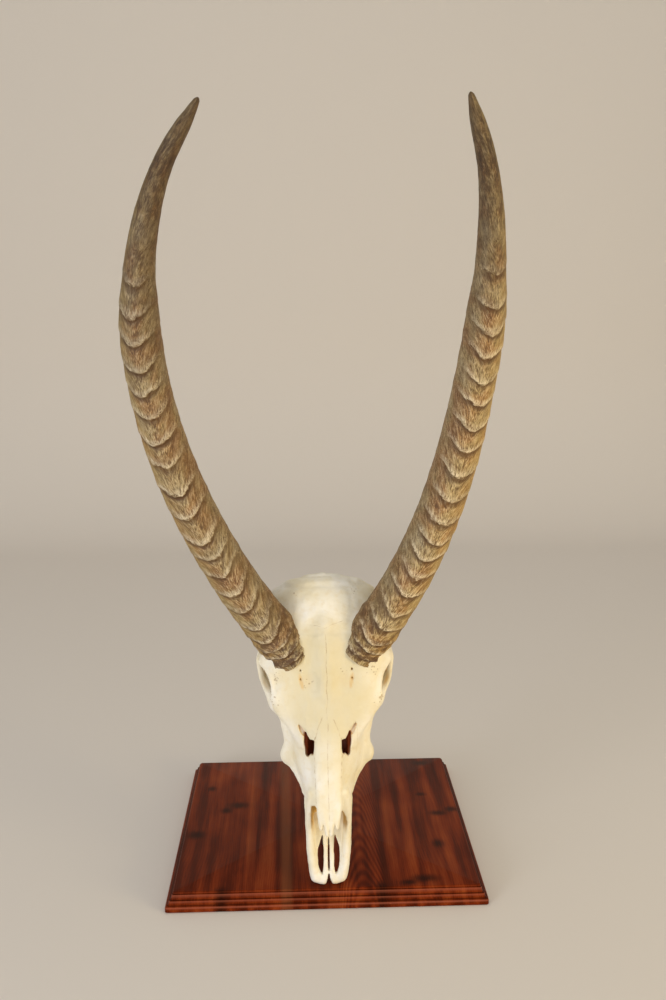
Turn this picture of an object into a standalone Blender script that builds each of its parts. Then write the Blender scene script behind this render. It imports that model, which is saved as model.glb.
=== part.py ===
"""Waterbuck skull mount: a horned skull stood nose down on a moulded hardwood base.

The bones and horns are modelled in the skull's own frame and hung on one empty, which
leans them back over the base. In that frame X is across the skull (the animal's left is
+X), Y runs from the nose tip to the crest and Z points out of the forehead. The base
stands on Z = 0 with the middle of its underside at the origin.
"""
import bpy
import bmesh
from math import cos, exp, pi, radians, sin
from mathutils import Matrix, Vector

MM = 0.001
FIT_GAP = 0.3 * MM
MERGE = 0.05 * MM

# Base board: a flat top inside a stepped moulding
TOP_WIDTH = 370 * MM
TOP_DEPTH = 346 * MM
BOARD_HEIGHT = 22 * MM
CORNER_RADIUS = 3 * MM
CORNER_STEPS = 3
# Moulding from the underside up: height, and how far it stands out past the top face
MOULDING = [(0.0, 9.0), (1.0, 10.0), (6.5, 10.0), (8.0, 8.6), (10.5, 6.6), (13.0, 6.0),
            (14.5, 4.2), (17.5, 2.4), (20.0, 1.8), (21.3, 1.0), (22.0, 0.0)]

# Steel rod that carries the skull, hidden behind the muzzle
ROD_RADIUS = 6 * MM
ROD_X = 1.5 * MM
ROD_Y = -70 * MM
ROD_FOOT_Z = 6 * MM
ROD_TOP_Z = 306 * MM
ROD_SIDES = 20

# Pose of the skull on the base
LEAN_BACK = radians(15.0)
LEAN_SIDE = radians(-0.75)
SKULL_ORIGIN = Vector((5.0, -208.9, 33.8)) * MM

# Closed sections along the skull: y, half width, top z, bottom z, flare, squareness.
# Flare makes a section wider below than above, and squareness 2 is an ellipse.
FACE = [(88, 23.0, -13.0, -54, 0.04, 2.5), (98, 26.0, -8.0, -56, 0.08, 2.5),
        (112, 28.5, -3.5, -61, 0.12, 2.5), (128, 31.5, -1.0, -67, 0.22, 2.4),
        (145, 37.5, 0.5, -73, 0.30, 2.4), (162, 41.5, 1.5, -77, 0.31, 2.4),
        (180, 44.5, 2.5, -81, 0.24, 2.4), (198, 48.0, 3.0, -84, 0.12, 2.4),
        (214, 47.0, 3.5, -86, 0.00, 2.4), (232, 36.0, 3.5, -80, 0.00, 2.3)]
BRIDGE = [(76, 9.5, -3.0, -9, 0.0, 2.6), (88, 12.5, -1.5, -9, 0.0, 2.6),
          (104, 15.0, 0.3, -10, 0.0, 2.6), (130, 16.0, 2.6, -10, 0.0, 2.5),
          (160, 16.5, 4.2, -10, 0.0, 2.4), (185, 15.5, 5.0, -10, 0.0, 2.3),
          (210, 11.0, 5.4, -10, 0.0, 2.2), (232, 5.0, 4.0, -10, 0.0, 2.0)]
FRONTAL = [(168, 20, -9.0, -24, 0.0, 2.2), (184, 38, -5.0, -25, 0.0, 2.2),
           (200, 52, -1.0, -25, 0.0, 2.2), (214, 61, 2.0, -24, 0.0, 2.2),
           (228, 63, 4.2, -22, 0.0, 2.2), (240, 62, 6.2, -21, 0.0, 2.2),
           (253, 63, 7.4, -23, 0.0, 2.2), (270, 74, 8.2, -27, 0.0, 2.2),
           (288, 70, 8.6, -30, 0.0, 2.2), (306, 56, 6.0, -34, 0.0, 2.2),
           (322, 52, 0.0, -40, 0.0, 2.2), (336, 54, -8.0, -46, 0.0, 2.2),
           (349, 50, -16.5, -52, 0.0, 2.2), (360, 38, -24.5, -56, 0.0, 2.2)]
SPHENOID = [(206, 30, 0, -74, 0.0, 2.4), (228, 25, 3, -82, 0.0, 2.6),
            (250, 23, 5, -86, 0.0, 2.8), (272, 25, 6, -88, 0.0, 2.6),
            (296, 36, 6, -86, 0.0, 2.4)]
OCCIPUT = [(300, 46, -34, -78, 0.0, 2.3), (316, 61, -23, -84, 0.0, 2.3),
           (334, 67, -16, -90, 0.0, 2.4), (350, 65, -19, -94, 0.0, 2.4),
           (360, 54, -25, -94, 0.0, 2.4), (368, 41, -30, -90, 0.0, 2.3),
           (373, 24, -34, -82, 0.0, 2.2)]
MUZZLE = [(0.4, 12.0, -43.5, -49, 0.0, 2.6), (3.5, 18.0, -41.5, -51, 0.0, 2.6),
          (9, 21.6, -40.5, -52, 0.0, 2.6), (22, 24.3, -41, -51.5, 0.0, 2.6),
          (44, 25.7, -42.5, -51, 0.0, 2.8), (64, 26.4, -43.5, -52.5, 0.0, 2.8),
          (84, 26.6, -44.5, -56, 0.0, 2.8), (106, 27.6, -46, -61, 0.0, 2.8)]
LOFTS = [FACE, BRIDGE, FRONTAL, SPHENOID, OCCIPUT, MUZZLE]
SECTION_POINTS = 36
# The muzzle bends a little towards the animal's right, from this height down
MUZZLE_BEND = 2.8
BEND_END_Y = 230
BEND_POWER = 1.5

# Rounded bars on the animal's left, mirrored to its right: points of x, y, z, radius
BARS = {
    "premaxilla": [(16.5, 10, -44, 4.6), (19.4, 22, -42, 5.0), (21.4, 42, -39, 5.0),
                   (22.4, 64, -34, 5.2), (22.4, 84, -26, 5.4), (21.0, 101, -17, 5.6),
                   (19, 118, -10, 5.5)],
    "premaxilla_wall": [(21.5, 40, -43, 4.4), (22.8, 64, -41, 4.8), (23.4, 90, -36, 5.4),
                        (23.6, 106, -32, 5.2)],
    "palatine_rod": [(4.6, 10, -45.5, 3.0), (3.9, 24, -46, 2.6), (3.8, 44, -46.5, 2.6),
                     (4.0, 66, -47, 3.0)],
    "nasal_inner_tip": [(2.4, 69.5, -5.0, 2.4), (4.0, 82, -4.6, 3.4), (6.5, 98, -4.4, 4.6)],
    "nasal_outer_tip": [(9.8, 76, -6.0, 2.3), (10.6, 88, -5.4, 3.3), (11.5, 104, -5.0, 4.8)],
    "tooth_row": [(23.5, 110, -60, 6.0), (29.5, 140, -69, 9.5), (36, 172, -76, 11),
                  (38, 202, -82, 11), (36, 218, -80, 9)],
    "facial_crest": [(25, 114, -55, 5.0), (37, 136, -57, 5.5), (50.0, 155, -57.5, 6.5),
                     (44.5, 171, -56, 8.0), (46, 188, -53, 9.5), (50, 206, -52, 9.5),
                     (60, 218, -53, 9.0)],
    "cheek_arch": [(59, 218, -57, 8.5), (68.0, 228, -57, 6.5), (76.5, 243, -54, 4.4),
                   (81.5, 262, -52, 4.0), (80, 280, -54, 4.8), (72, 292, -62, 7.0),
                   (64, 301, -67, 9.0), (50, 312, -68, 13.0)],
    "orbit_front": [(62, 231, -10, 3.8), (59, 221, -15, 5.5), (56, 214, -26, 6.5),
                    (56, 213, -42, 7.0), (62, 221, -54, 7.5)],
    "orbit_top": [(57, 221, -11, 4.2), (63, 233, -9, 3.4), (64, 249, -6, 3.4),
                  (67.5, 262, -7, 3.6), (74.0, 274, -13, 5.6)],
    "orbit_back": [(72, 276, -13, 6.2), (76.5, 278, -28, 5.2), (78, 278, -42, 5.0),
                   (79, 272, -54, 4.8)],
    "horn_seat": [(40, 268, -22, 20), (46, 284, -23, 26), (48, 294, -18, 22)],
    "skull_base": [(0, 358, -86, 10), (0, 334, -86, 13), (0, 300, -80, 14), (0, 270, -74, 13)],
    "base_tubercle": [(8, 326, -96, 5), (8, 312, -94, 6)],
    "pterygoid": [(14, 232, -82, 4.5), (14, 252, -90, 4.2), (14.5, 264, -95, 3.6)],
    "paroccipital": [(47, 342, -80, 14), (45, 349, -98, 9.5), (42, 347, -112, 6.5),
                     (40, 342, -124, 3.6)],
    "nuchal_crest": [(64, 336, -64, 5.5), (66, 349, -50, 5.0), (50, 361.5, -42, 4.4),
                     (24, 368, -38, 4.4), (0, 368.5, -37, 4.4)],
    "midline_crest": [(0, 366, -36, 3.0), (0, 350, -19, 3.0), (0, 326, -5, 3.0)],
    "brow_rise": [(0, 312, 2, 5), (0, 290, 5.5, 6), (0, 262, 4.5, 5), (0, 236, 2.0, 4)],
}
BAR_RESOLUTION = 3
BAR_STEPS = 5

# Ellipsoids on the animal's left, mirrored: centre and radii
LUMPS = {
    "braincase": ((0, 318, -44), (50, 55, 43)),
    "facial_tuber": ((50.0, 154, -57.5), (7.0, 8.5, 7.5)),
    "crest_knob": ((0, 373.4, -37), (4.6, 3.8, 5)),
    "bulla": ((31, 318, -93), (11, 15, 13)),
    "condyle": ((17, 360, -93), (13.5, 13, 17)),
    "jaw_joint": ((54, 302, -70), (16, 11, 9)),
    "orbit_floor": ((71, 247, -63), (9, 21, 5)),
}
LUMP_SEGMENTS = 24
LUMP_RINGS = 14

# Hollows cut into the bone: sections and ellipsoids as above
AIRWAY = [(66, 15, -12, -41, 0.0, 2.4), (98, 18, -9, -44, 0.08, 2.6),
          (130, 24, -8, -52, 0.15, 2.6), (165, 30, -8, -58, 0.15, 2.6),
          (195, 26, -12, -62, 0.0, 2.4), (222, 15, -30, -70, 0.0, 2.3),
          (240, 12, -44, -78, 0.0, 2.3), (256, 10, -56, -88, 0.0, 2.3)]
PALATE_VAULT = [(98, 11, -55, -80, 0.0, 2.2), (130, 15, -60, -90, 0.0, 2.3),
                (170, 19, -67, -100, 0.0, 2.3), (206, 23, -72, -112, 0.0, 2.3),
                (222, 16, -72, -118, 0.0, 2.3)]
CHOANA = [(214, 9, -70, -124, 0.0, 2.6), (236, 11, -64, -124, 0.0, 2.6),
          (262, 9.5, -62, -124, 0.0, 2.6)]
HOLLOW_LOFTS = [AIRWAY, PALATE_VAULT, CHOANA]
HOLLOW_LUMPS = {
    "orbit": ((63, 245, -31), (35, 25.0, 22.5)),
    "orbit_mouth": ((84, 247, -26), (15, 16, 22)),
    "temporal_fossa": ((53, 286, -80), (11, 21, 29)),
    "below_orbit": ((45, 248, -76), (18, 18, 24)),
    "foramen_magnum": ((0, 376, -80), (13.5, 30, 12)),
    "brow_dip": ((22, 246, 13.5), (10.5, 14, 6.5)),
}
# Openings that show from the front: z range, then x and y of the outline's corners. The
# paired ones are mirrored. The last two differ, as the animal's own nostrils do.
PAIRED_OPENINGS = [
    ((-60, -36), [(7.2, 61), (10.2, 53), (13.0, 44), (13.6, 34), (12.6, 22), (9.8, 13.5),
                  (7.6, 13), (6.4, 20), (6.1, 40)]),
    ((-20, 10), [(4.4, 64), (5.9, 79), (6.6, 82.5), (7.4, 79), (8.4, 72), (9.2, 64)]),
    ((-16, 20), [(15.8, 180.5), (21.5, 181), (25.2, 189), (27.0, 194), (28.2, 178),
                 (26.0, 162), (23.4, 159), (20.5, 164), (17.2, 162.5)]),
]
SINGLE_OPENINGS = [
    ((-60, -30), [(-4.4, -4), (4.4, -4), (3.2, 3), (1.3, 8), (0.9, 13.5), (-0.9, 13.5),
                  (-1.3, 8), (-3.2, 3)]),
    ((-60, -40), [(-1.2, 16.5), (1.2, 16.5), (1.4, 40), (0.7, 57), (-0.7, 57), (-1.4, 40)]),
    ((-30, 20), [(11.5, 60), (13.0, 79), (14.4, 88), (16.2, 94), (19.0, 87), (21.0, 78), (19, 60)]),
    ((-30, 20), [(-11.5, 60), (-12.9, 79), (-14.2, 92), (-14.6, 101.5), (-20.0, 101.5),
                 (-20.6, 90), (-19.6, 74), (-18.6, 60)]),
]
VOXEL = 2.4 * MM
SMOOTH_STEPS = 3
RIM_SMOOTH_STEPS = 1
CRANIUM_SHARE_KEPT = 0.049

# Flat underside that the cheek teeth stand on: height at its front end, and its fall
ALVEOLAR_Y = (106, 224)
ALVEOLAR_Z = -66
ALVEOLAR_FALL = 0.17
SHELF_HALF_WIDTH = 60
SHELF_DROP = 60
# Block of air in the board's place under the nose
NOSE_FLOOR_X = 60 * MM
NOSE_FLOOR_Y = (-240 * MM, -90 * MM)
NOSE_FLOOR_DROP = 20 * MM

# Cheek teeth from the nose backwards: name, length, width
TEETH = [("premolar_1", 11.0, 9.0), ("premolar_2", 12.5, 11.5), ("premolar_3", 12.5, 13.5),
         ("molar_1", 17.0, 15.5), ("molar_2", 19.5, 16.5), ("molar_3", 20.0, 15.5)]
TOOTH_START_Y = 112
TOOTH_GAP = 0.5
TOOTH_HEIGHT = 9.0
TOOTH_ROW_X = (27.5, 38.0)
TOOTH_ROOT_DEPTH = 0.35
# Crown from the root down: share of the height, and share of the full width and length
CROWN = [(0.0, 0.94, 0.94), (0.35, 1.0, 1.0), (0.85, 0.97, 1.0), (1.0, 0.86, 0.86)]
STEPS_PER_LOBE = 8
WAIST_DEPTH = 0.22
WAIST_SHARPNESS = 4
ROW_CURVE = 0.7

# Horn centre lines in the skull's frame, evenly spaced from the brow to the tip
HORN_RIGHT_PATH = [(-38.5, 278, -21), (-94, 354.5, 4.5), (-134, 424.5, 31), (-165, 497, 62),
                   (-184.5, 571.5, 98.5), (-191, 644.5, 140.5), (-181, 714, 188.5),
                   (-153.5, 774.5, 241), (-109, 823, 294.5)]
HORN_LEFT_PATH = [(38.5, 280, -20), (89, 351, 4), (125.5, 420.5, 30.5), (151.5, 493.5, 61.5),
                  (168.5, 566.5, 97.5), (179, 638, 138.5), (180.5, 706.5, 186),
                  (170.5, 769, 239.5), (145, 823, 297.5)]
HORN_RIGHT_LENGTH = 680
HORN_LEFT_LENGTH = 666
# Half width across the horn at shares of its length, and how much deeper it is fore and aft
HORN_HALF_WIDTH = [(0.0, 28.5), (0.05, 28.2), (0.12, 26.6), (0.24, 25.6), (0.38, 24.6),
                   (0.52, 23.0), (0.64, 21.4), (0.72, 16.6), (0.80, 13.6), (0.88, 10.2),
                   (0.94, 8.2), (0.98, 4.8), (1.0, 2.2)]
HORN_DEPTH_RATIO = 1.14
HORN_SIDES = 14
# Growth rings, by distance from the rim: a steep step facing the skull, then a long
# slope towards the tip. They sag towards the skull on the front outer face.
RINGS_RIGHT = [13, 26, 41, 60, 80, 105, 128, 154, 177, 200, 233, 262, 295, 322, 353, 378,
               404, 435, 462, 493]
RINGS_LEFT = [15, 29, 45, 66, 89, 116, 140, 165, 186, 211, 239, 270, 299, 326, 353, 380,
              408, 434, 459, 493]
RING_HEIGHT = 2.6
RING_STEP_LENGTH = 4.0
RING_SAG = 19.0
RING_SAG_SPREAD = radians(46)
RING_TURN_OUT = radians(12)
# Over the first part the rings are squarer to the horn, whose rim reaches into the brow
ROOT_SHARE = 0.10
ROOT_SAG = 0.2
ROOT_DEPTH = 2.0
RIM_LENGTH = 3.0
RIM_SWELL = 1.2
BACK_SWELL = 0.15
FAINT_RINGS_FROM = 440
SMOOTH_SHARES = [0.755, 0.79, 0.825, 0.86, 0.895, 0.93, 0.96, 0.985]


def clear_scene():
    for old in list(bpy.data.objects):
        bpy.data.objects.remove(old, do_unlink=True)


def new_collection(name):
    made = bpy.data.collections.new(name)
    bpy.context.scene.collection.children.link(made)
    return made


def new_material(name, red, green, blue, roughness, metallic=0.0):
    made = bpy.data.materials.new(name)
    made.use_nodes = True
    shader = made.node_tree.nodes["Principled BSDF"]
    shader.inputs["Base Color"].default_value = (red, green, blue, 1.0)
    shader.inputs["Roughness"].default_value = roughness
    shader.inputs["Metallic"].default_value = metallic
    made.diffuse_color = (red, green, blue, 1.0)
    return made


def new_object(name, mesh, collection, material=None, parent=None):
    made = bpy.data.objects.new(name, mesh)
    collection.objects.link(made)
    if material is not None:
        mesh.materials.append(material)
    made.parent = parent
    return made


def mesh_from(name, form):
    bmesh.ops.recalc_face_normals(form, faces=form.faces)
    mesh = bpy.data.meshes.new(name)
    form.to_mesh(mesh)
    form.free()
    return mesh


def hide_tool(tool):
    tool.hide_render = True
    tool.display_type = 'WIRE'


def cut(target, tool):
    change = target.modifiers.new("Cut " + tool.name, 'BOOLEAN')
    change.operation = 'DIFFERENCE'
    change.solver = 'EXACT'
    change.object = tool


def loft(form, rings):
    """Joins closed rings of equal length with quads and closes both ends."""
    made = [[form.verts.new(point) for point in ring] for ring in rings]
    count = len(made[0])
    for lower, upper in zip(made, made[1:]):
        for k in range(count):
            after = (k + 1) % count
            form.faces.new((lower[k], lower[after], upper[after], upper[k]))
    for ring in (made[0], made[-1]):
        middle = sum((vert.co for vert in ring), Vector()) / count
        hub = form.verts.new(middle)
        for k in range(count):
            form.faces.new((ring[k], ring[(k + 1) % count], hub))


def skull_section(y, half_width, top, bottom, flare, squareness):
    """One cross-section of the skull: an ellipse made squarer, and wider below."""
    middle = (top + bottom) / 2
    half_height = (top - bottom) / 2
    power = 2 / squareness
    ring = []
    for k in range(SECTION_POINTS):
        angle = 2 * pi * k / SECTION_POINTS
        across = abs(cos(angle)) ** power * (1 if cos(angle) >= 0 else -1)
        up = abs(sin(angle)) ** power * (1 if sin(angle) >= 0 else -1)
        x = half_width * (1 - flare * up) * across
        ring.append(Vector((x, y, middle + half_height * up)) * MM)
    return ring


def add_ellipsoid(form, centre, radii):
    place = Matrix.Translation(Vector(centre) * MM) @ Matrix.Diagonal(Vector(radii) * MM).to_4x4()
    bmesh.ops.create_uvsphere(form, u_segments=LUMP_SEGMENTS, v_segments=LUMP_RINGS,
                              radius=1.0, matrix=place)


def add_bar(form, points, side):
    """A rounded bar: a bevelled curve through the points, with a ball on each end."""
    curve = bpy.data.curves.new("bar", 'CURVE')
    curve.dimensions = '3D'
    curve.bevel_depth = MM
    curve.bevel_resolution = BAR_RESOLUTION
    curve.resolution_u = BAR_STEPS
    curve.use_fill_caps = True
    line = curve.splines.new('NURBS')
    line.points.add(len(points) - 1)
    line.order_u = 3
    line.use_endpoint_u = True
    for node, (x, y, z, radius) in zip(line.points, points):
        node.co = (side * x * MM, y * MM, z * MM, 1.0)
        node.radius = radius
    holder = bpy.data.objects.new("bar", curve)
    bpy.context.scene.collection.objects.link(holder)
    bpy.context.view_layer.update()
    depsgraph = bpy.context.evaluated_depsgraph_get()
    tube = bpy.data.meshes.new_from_object(holder.evaluated_get(depsgraph))
    bar = bmesh.new()
    bar.from_mesh(tube)
    bmesh.ops.remove_doubles(bar, verts=bar.verts, dist=MERGE)
    bmesh.ops.recalc_face_normals(bar, faces=bar.faces)
    bar.to_mesh(tube)
    bar.free()
    form.from_mesh(tube)
    bpy.data.objects.remove(holder)
    bpy.data.curves.remove(curve)
    bpy.data.meshes.remove(tube)
    for x, y, z, radius in (points[0], points[-1]):
        add_ellipsoid(form, (side * x, y, z), (radius, radius, radius))


def bend_muzzle(form):
    """Moves the points of the muzzle to the animal's right, most at the nose tip."""
    for vert in form.verts:
        share = min(max(vert.co.y / (BEND_END_Y * MM), 0.0), 1.0)
        vert.co.x -= MUZZLE_BEND * MM * (1 - share) ** BEND_POWER


def gathered_form(name, lofts, bars, lumps):
    """All the shapes of one list in one mesh, each with its mirror image."""
    form = bmesh.new()
    for sections in lofts:
        loft(form, [skull_section(*section) for section in sections])
    for points in bars.values():
        for side in (1, -1):
            add_bar(form, points, side)
    for centre, radii in lumps.values():
        for side in (1, -1):
            add_ellipsoid(form, (side * centre[0], centre[1], centre[2]), radii)
    bend_muzzle(form)
    return mesh_from(name, form)


def fuse(target, smooth_steps):
    """Melts overlapping shapes into one skin, and rounds the creases."""
    skin = target.modifiers.new("Fuse", 'REMESH')
    skin.mode = 'VOXEL'
    skin.voxel_size = VOXEL
    ease = target.modifiers.new("Ease", 'SMOOTH')
    ease.factor = 0.5
    ease.iterations = smooth_steps


def block(name, corner_points, drop):
    """A prism that hangs below an outline by the drop vector."""
    form = bmesh.new()
    loft(form, [corner_points, [point + drop for point in corner_points]])
    return mesh_from(name, form)


def openings_form():
    """The openings as prisms, straight through from front to back."""
    form = bmesh.new()
    outlines = list(SINGLE_OPENINGS)
    for heights, corners in PAIRED_OPENINGS:
        outlines.append((heights, corners))
        outlines.append((heights, [(-x, y) for x, y in corners]))
    for heights, corners in outlines:
        loft(form, [[Vector((x, y, z)) * MM for x, y in corners] for z in heights])
    bend_muzzle(form)
    return mesh_from("openings", form)


def alveolar_height(y):
    return ALVEOLAR_Z - (y - ALVEOLAR_Y[0]) * ALVEOLAR_FALL


def table_value(table, share):
    """Reads the straight lines between (share, value) rows."""
    for (start, low), (end, high) in zip(table, table[1:]):
        if share <= end:
            return low + (high - low) * (share - start) / (end - start)
    return table[-1][1]


def path_point(path, share):
    """A point on the smooth curve through evenly spaced path points."""
    last = len(path) - 1
    place = min(max(share, 0.0), 1.0) * last
    step = min(int(place), last - 1)
    t = place - step
    corners = [Vector(path[min(max(step + k, 0), last)]) for k in (-1, 0, 1, 2)]
    a, b, c, d = corners
    return 0.5 * (2 * b + (c - a) * t + (2 * a - 5 * b + 4 * c - d) * t ** 2
                  + (3 * b - a - 3 * c + d) * t ** 3)


def horn_ring(path, share, swell, side, grow=0.0, slide=0.0):
    """A ring of the horn, which sags towards the skull on its front outer face."""
    along = (path_point(path, share + 0.01) - path_point(path, share - 0.01)).normalized()
    centre = path_point(path, share) + along * slide
    front = Vector((0, 0, 1))
    front = (front - along * front.dot(along)).normalized()
    out = along.cross(front) * side
    half = table_value(HORN_HALF_WIDTH, share)
    slimness = half / HORN_HALF_WIDTH[0][1]
    grown = min(max(share / ROOT_SHARE, 0.0), 1.0)
    full_sag = RING_SAG * slimness * (ROOT_SAG + (1 - ROOT_SAG) * grown)
    root = ROOT_DEPTH * (1 - grown)
    ring = []
    for k in range(HORN_SIDES):
        angle = 2 * pi * k / HORN_SIDES
        turn = (angle - RING_TURN_OUT + pi) % (2 * pi) - pi
        facing = 0.5 + 0.5 * cos(turn)
        width = half + swell * (BACK_SWELL + (1 - BACK_SWELL) * facing) + grow
        sag = full_sag * exp(-(turn / RING_SAG_SPREAD) ** 2) + root
        offset = front * cos(angle) * width * HORN_DEPTH_RATIO + out * sin(angle) * width
        ring.append((centre + offset - along * sag) * MM)
    return ring


def horn_form(path, length, ridges, side, grow=0.0):
    rings = [horn_ring(path, 0.0, 0.0, side, grow, -grow)]
    rings.append(horn_ring(path, RIM_LENGTH / length, RIM_SWELL, side, grow))
    for distance in ridges:
        height = RING_HEIGHT if distance < FAINT_RINGS_FROM else RING_HEIGHT / 2
        rings.append(horn_ring(path, (distance - RING_STEP_LENGTH) / length, 0.0, side, grow))
        rings.append(horn_ring(path, distance / length, height, side, grow))
    for share in SMOOTH_SHARES:
        rings.append(horn_ring(path, share, 0.0, side, grow))
    rings.append(horn_ring(path, 1.0, 0.0, side, grow, grow))
    form = bmesh.new()
    loft(form, rings)
    return form


clear_scene()
part = new_collection("waterbuck_skull_mount")
tools = new_collection("cutters")
wood = new_material("varnished_hardwood", 0.115, 0.035, 0.015, 0.35)
steel = new_material("steel_rod", 0.35, 0.35, 0.35, 0.35, 1.0)
bone = new_material("bleached_bone", 0.80, 0.72, 0.52, 0.6)
enamel = new_material("tooth_enamel", 0.72, 0.66, 0.52, 0.35)
keratin = new_material("horn_sheath", 0.22, 0.13, 0.065, 0.6)

# Base board
board_form = bmesh.new()
board_rings = []
for height, stand_out in MOULDING:
    half_x = TOP_WIDTH / 2 + stand_out * MM
    half_y = TOP_DEPTH / 2 + stand_out * MM
    ring = []
    for quarter in range(4):
        turn = quarter * pi / 2
        sign_x = 1 if quarter in (0, 3) else -1
        sign_y = 1 if quarter in (0, 1) else -1
        for k in range(CORNER_STEPS + 1):
            angle = turn + k * pi / 2 / CORNER_STEPS
            ring.append(Vector((sign_x * (half_x - CORNER_RADIUS) + CORNER_RADIUS * cos(angle),
                                sign_y * (half_y - CORNER_RADIUS) + CORNER_RADIUS * sin(angle),
                                height * MM)))
    board_rings.append(ring)
loft(board_form, board_rings)
board = new_object("base_board", mesh_from("base_board", board_form), part, wood)
hole_form = bmesh.new()
hole_bottom = ROD_FOOT_Z - FIT_GAP
hole_top = BOARD_HEIGHT * 2
bmesh.ops.create_cone(hole_form, cap_ends=True, segments=ROD_SIDES, radius1=ROD_RADIUS + FIT_GAP,
                      radius2=ROD_RADIUS + FIT_GAP, depth=hole_top - hole_bottom,
                      matrix=Matrix.Translation((ROD_X, ROD_Y, (hole_top + hole_bottom) / 2)))
board_hole = new_object("board_hole", mesh_from("board_hole", hole_form), tools)
hide_tool(board_hole)
cut(board, board_hole)

# Steel rod
rod_form = bmesh.new()
bmesh.ops.create_cone(rod_form, cap_ends=True, segments=ROD_SIDES, radius1=ROD_RADIUS,
                      radius2=ROD_RADIUS, depth=ROD_TOP_Z - ROD_FOOT_Z,
                      matrix=Matrix.Translation((ROD_X, ROD_Y, (ROD_TOP_Z + ROD_FOOT_Z) / 2)))
rod = new_object("support_rod", mesh_from("support_rod", rod_form), part, steel)

# Empty that leans the skull back over the base
pose = bpy.data.objects.new("skull_pose", None)
part.objects.link(pose)
pose.location = SKULL_ORIGIN
pose.rotation_euler = (pi / 2 - LEAN_BACK, LEAN_SIDE, 0)
bpy.context.view_layer.update()

# Cranium: one skin over all the bones, then its hollows
cranium = new_object("cranium", gathered_form("cranium", LOFTS, BARS, LUMPS), part, bone, pose)
fuse(cranium, SMOOTH_STEPS)
hollows = new_object("hollows", gathered_form("hollows", HOLLOW_LOFTS, {}, HOLLOW_LUMPS), tools,
                     None, pose)
fuse(hollows, SMOOTH_STEPS)
hide_tool(hollows)
cut(cranium, hollows)
fuse(cranium, RIM_SMOOTH_STEPS)
thin = cranium.modifiers.new("Thin", 'DECIMATE')
thin.ratio = CRANIUM_SHARE_KEPT
openings = new_object("openings", openings_form(), tools, None, pose)
hide_tool(openings)
cut(cranium, openings)

# Flat seats: the tooth rows' underside, the board under the nose, the rod's hole
shelf_front = alveolar_height(ALVEOLAR_Y[0])
shelf_back = alveolar_height(ALVEOLAR_Y[1])
shelf_corners = [Vector(corner) * MM for corner in (
    (-SHELF_HALF_WIDTH, ALVEOLAR_Y[0], shelf_front), (SHELF_HALF_WIDTH, ALVEOLAR_Y[0], shelf_front),
    (SHELF_HALF_WIDTH, ALVEOLAR_Y[1], shelf_back), (-SHELF_HALF_WIDTH, ALVEOLAR_Y[1], shelf_back))]
shelf_mesh = block("tooth_shelf", shelf_corners, Vector((0, 0, -SHELF_DROP)) * MM)
shelf = new_object("tooth_shelf", shelf_mesh, tools, None, pose)
hide_tool(shelf)
cut(cranium, shelf)
floor_z = BOARD_HEIGHT + FIT_GAP
floor_corners = [Vector((x, y, floor_z)) for x, y in (
    (-NOSE_FLOOR_X, NOSE_FLOOR_Y[0]), (NOSE_FLOOR_X, NOSE_FLOOR_Y[0]),
    (NOSE_FLOOR_X, NOSE_FLOOR_Y[1]), (-NOSE_FLOOR_X, NOSE_FLOOR_Y[1]))]
floor_mesh = block("nose_floor", floor_corners, Vector((0, 0, -NOSE_FLOOR_DROP)))
nose_floor = new_object("nose_floor", floor_mesh, tools)
hide_tool(nose_floor)
cut(cranium, nose_floor)
seat_form = bmesh.new()
seat_top = ROD_TOP_Z + FIT_GAP
bmesh.ops.create_cone(seat_form, cap_ends=True, segments=ROD_SIDES, radius1=ROD_RADIUS + FIT_GAP,
                      radius2=ROD_RADIUS + FIT_GAP, depth=seat_top,
                      matrix=Matrix.Translation((ROD_X, ROD_Y, seat_top / 2)))
rod_seat = new_object("rod_seat", mesh_from("rod_seat", seat_form), tools)
hide_tool(rod_seat)
cut(cranium, rod_seat)

# Horns, and the same forms a little larger as the seats they leave in the brow
for name, path, length, ridges, side in (
        ("horn_right", HORN_RIGHT_PATH, HORN_RIGHT_LENGTH, RINGS_RIGHT, -1),
        ("horn_left", HORN_LEFT_PATH, HORN_LEFT_LENGTH, RINGS_LEFT, 1)):
    new_object(name, mesh_from(name, horn_form(path, length, ridges, side)), part, keratin, pose)
    seat_mesh = mesh_from(name + "_seat", horn_form(path, length, ridges, side, FIT_GAP / MM))
    seat = new_object(name + "_seat", seat_mesh, tools, None, pose)
    hide_tool(seat)
    cut(cranium, seat)

# Cheek teeth: two-lobed crowns in a row along each side of the palate
for side, side_name in ((1, "left"), (-1, "right")):
    y = TOOTH_START_Y
    row_end = TOOTH_START_Y + sum(row[1] + TOOTH_GAP for row in TEETH)
    for tooth, length, width in TEETH:
        middle_y = y + length / 2
        share = (middle_y - TOOTH_START_Y) / (row_end - TOOTH_START_Y)
        middle_x = TOOTH_ROW_X[0] + (TOOTH_ROW_X[1] - TOOTH_ROW_X[0]) * share ** ROW_CURVE
        root_z = alveolar_height(middle_y) - TOOTH_ROOT_DEPTH
        lobes = 2 if tooth.startswith("molar") else 1
        steps = STEPS_PER_LOBE * lobes
        rings = []
        for level, width_share, length_share in CROWN:
            ring = []
            for k in range(steps):
                angle = 2 * pi * k / steps
                waist = 1 - WAIST_DEPTH * (lobes - 1) * (1 - abs(cos(angle))) ** WAIST_SHARPNESS
                along = cos(angle) * length / 2 * length_share
                across = middle_x + sin(angle) * width / 2 * width_share * waist
                height = root_z - along * ALVEOLAR_FALL - level * TOOTH_HEIGHT
                ring.append(Vector((side * across, middle_y + along, height)) * MM)
            rings.append(ring)
        tooth_form = bmesh.new()
        loft(tooth_form, rings)
        name = "tooth_" + side_name + "_" + tooth
        new_object(name, mesh_from(name, tooth_form), part, enamel, pose)
        y += length + TOOTH_GAP
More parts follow.
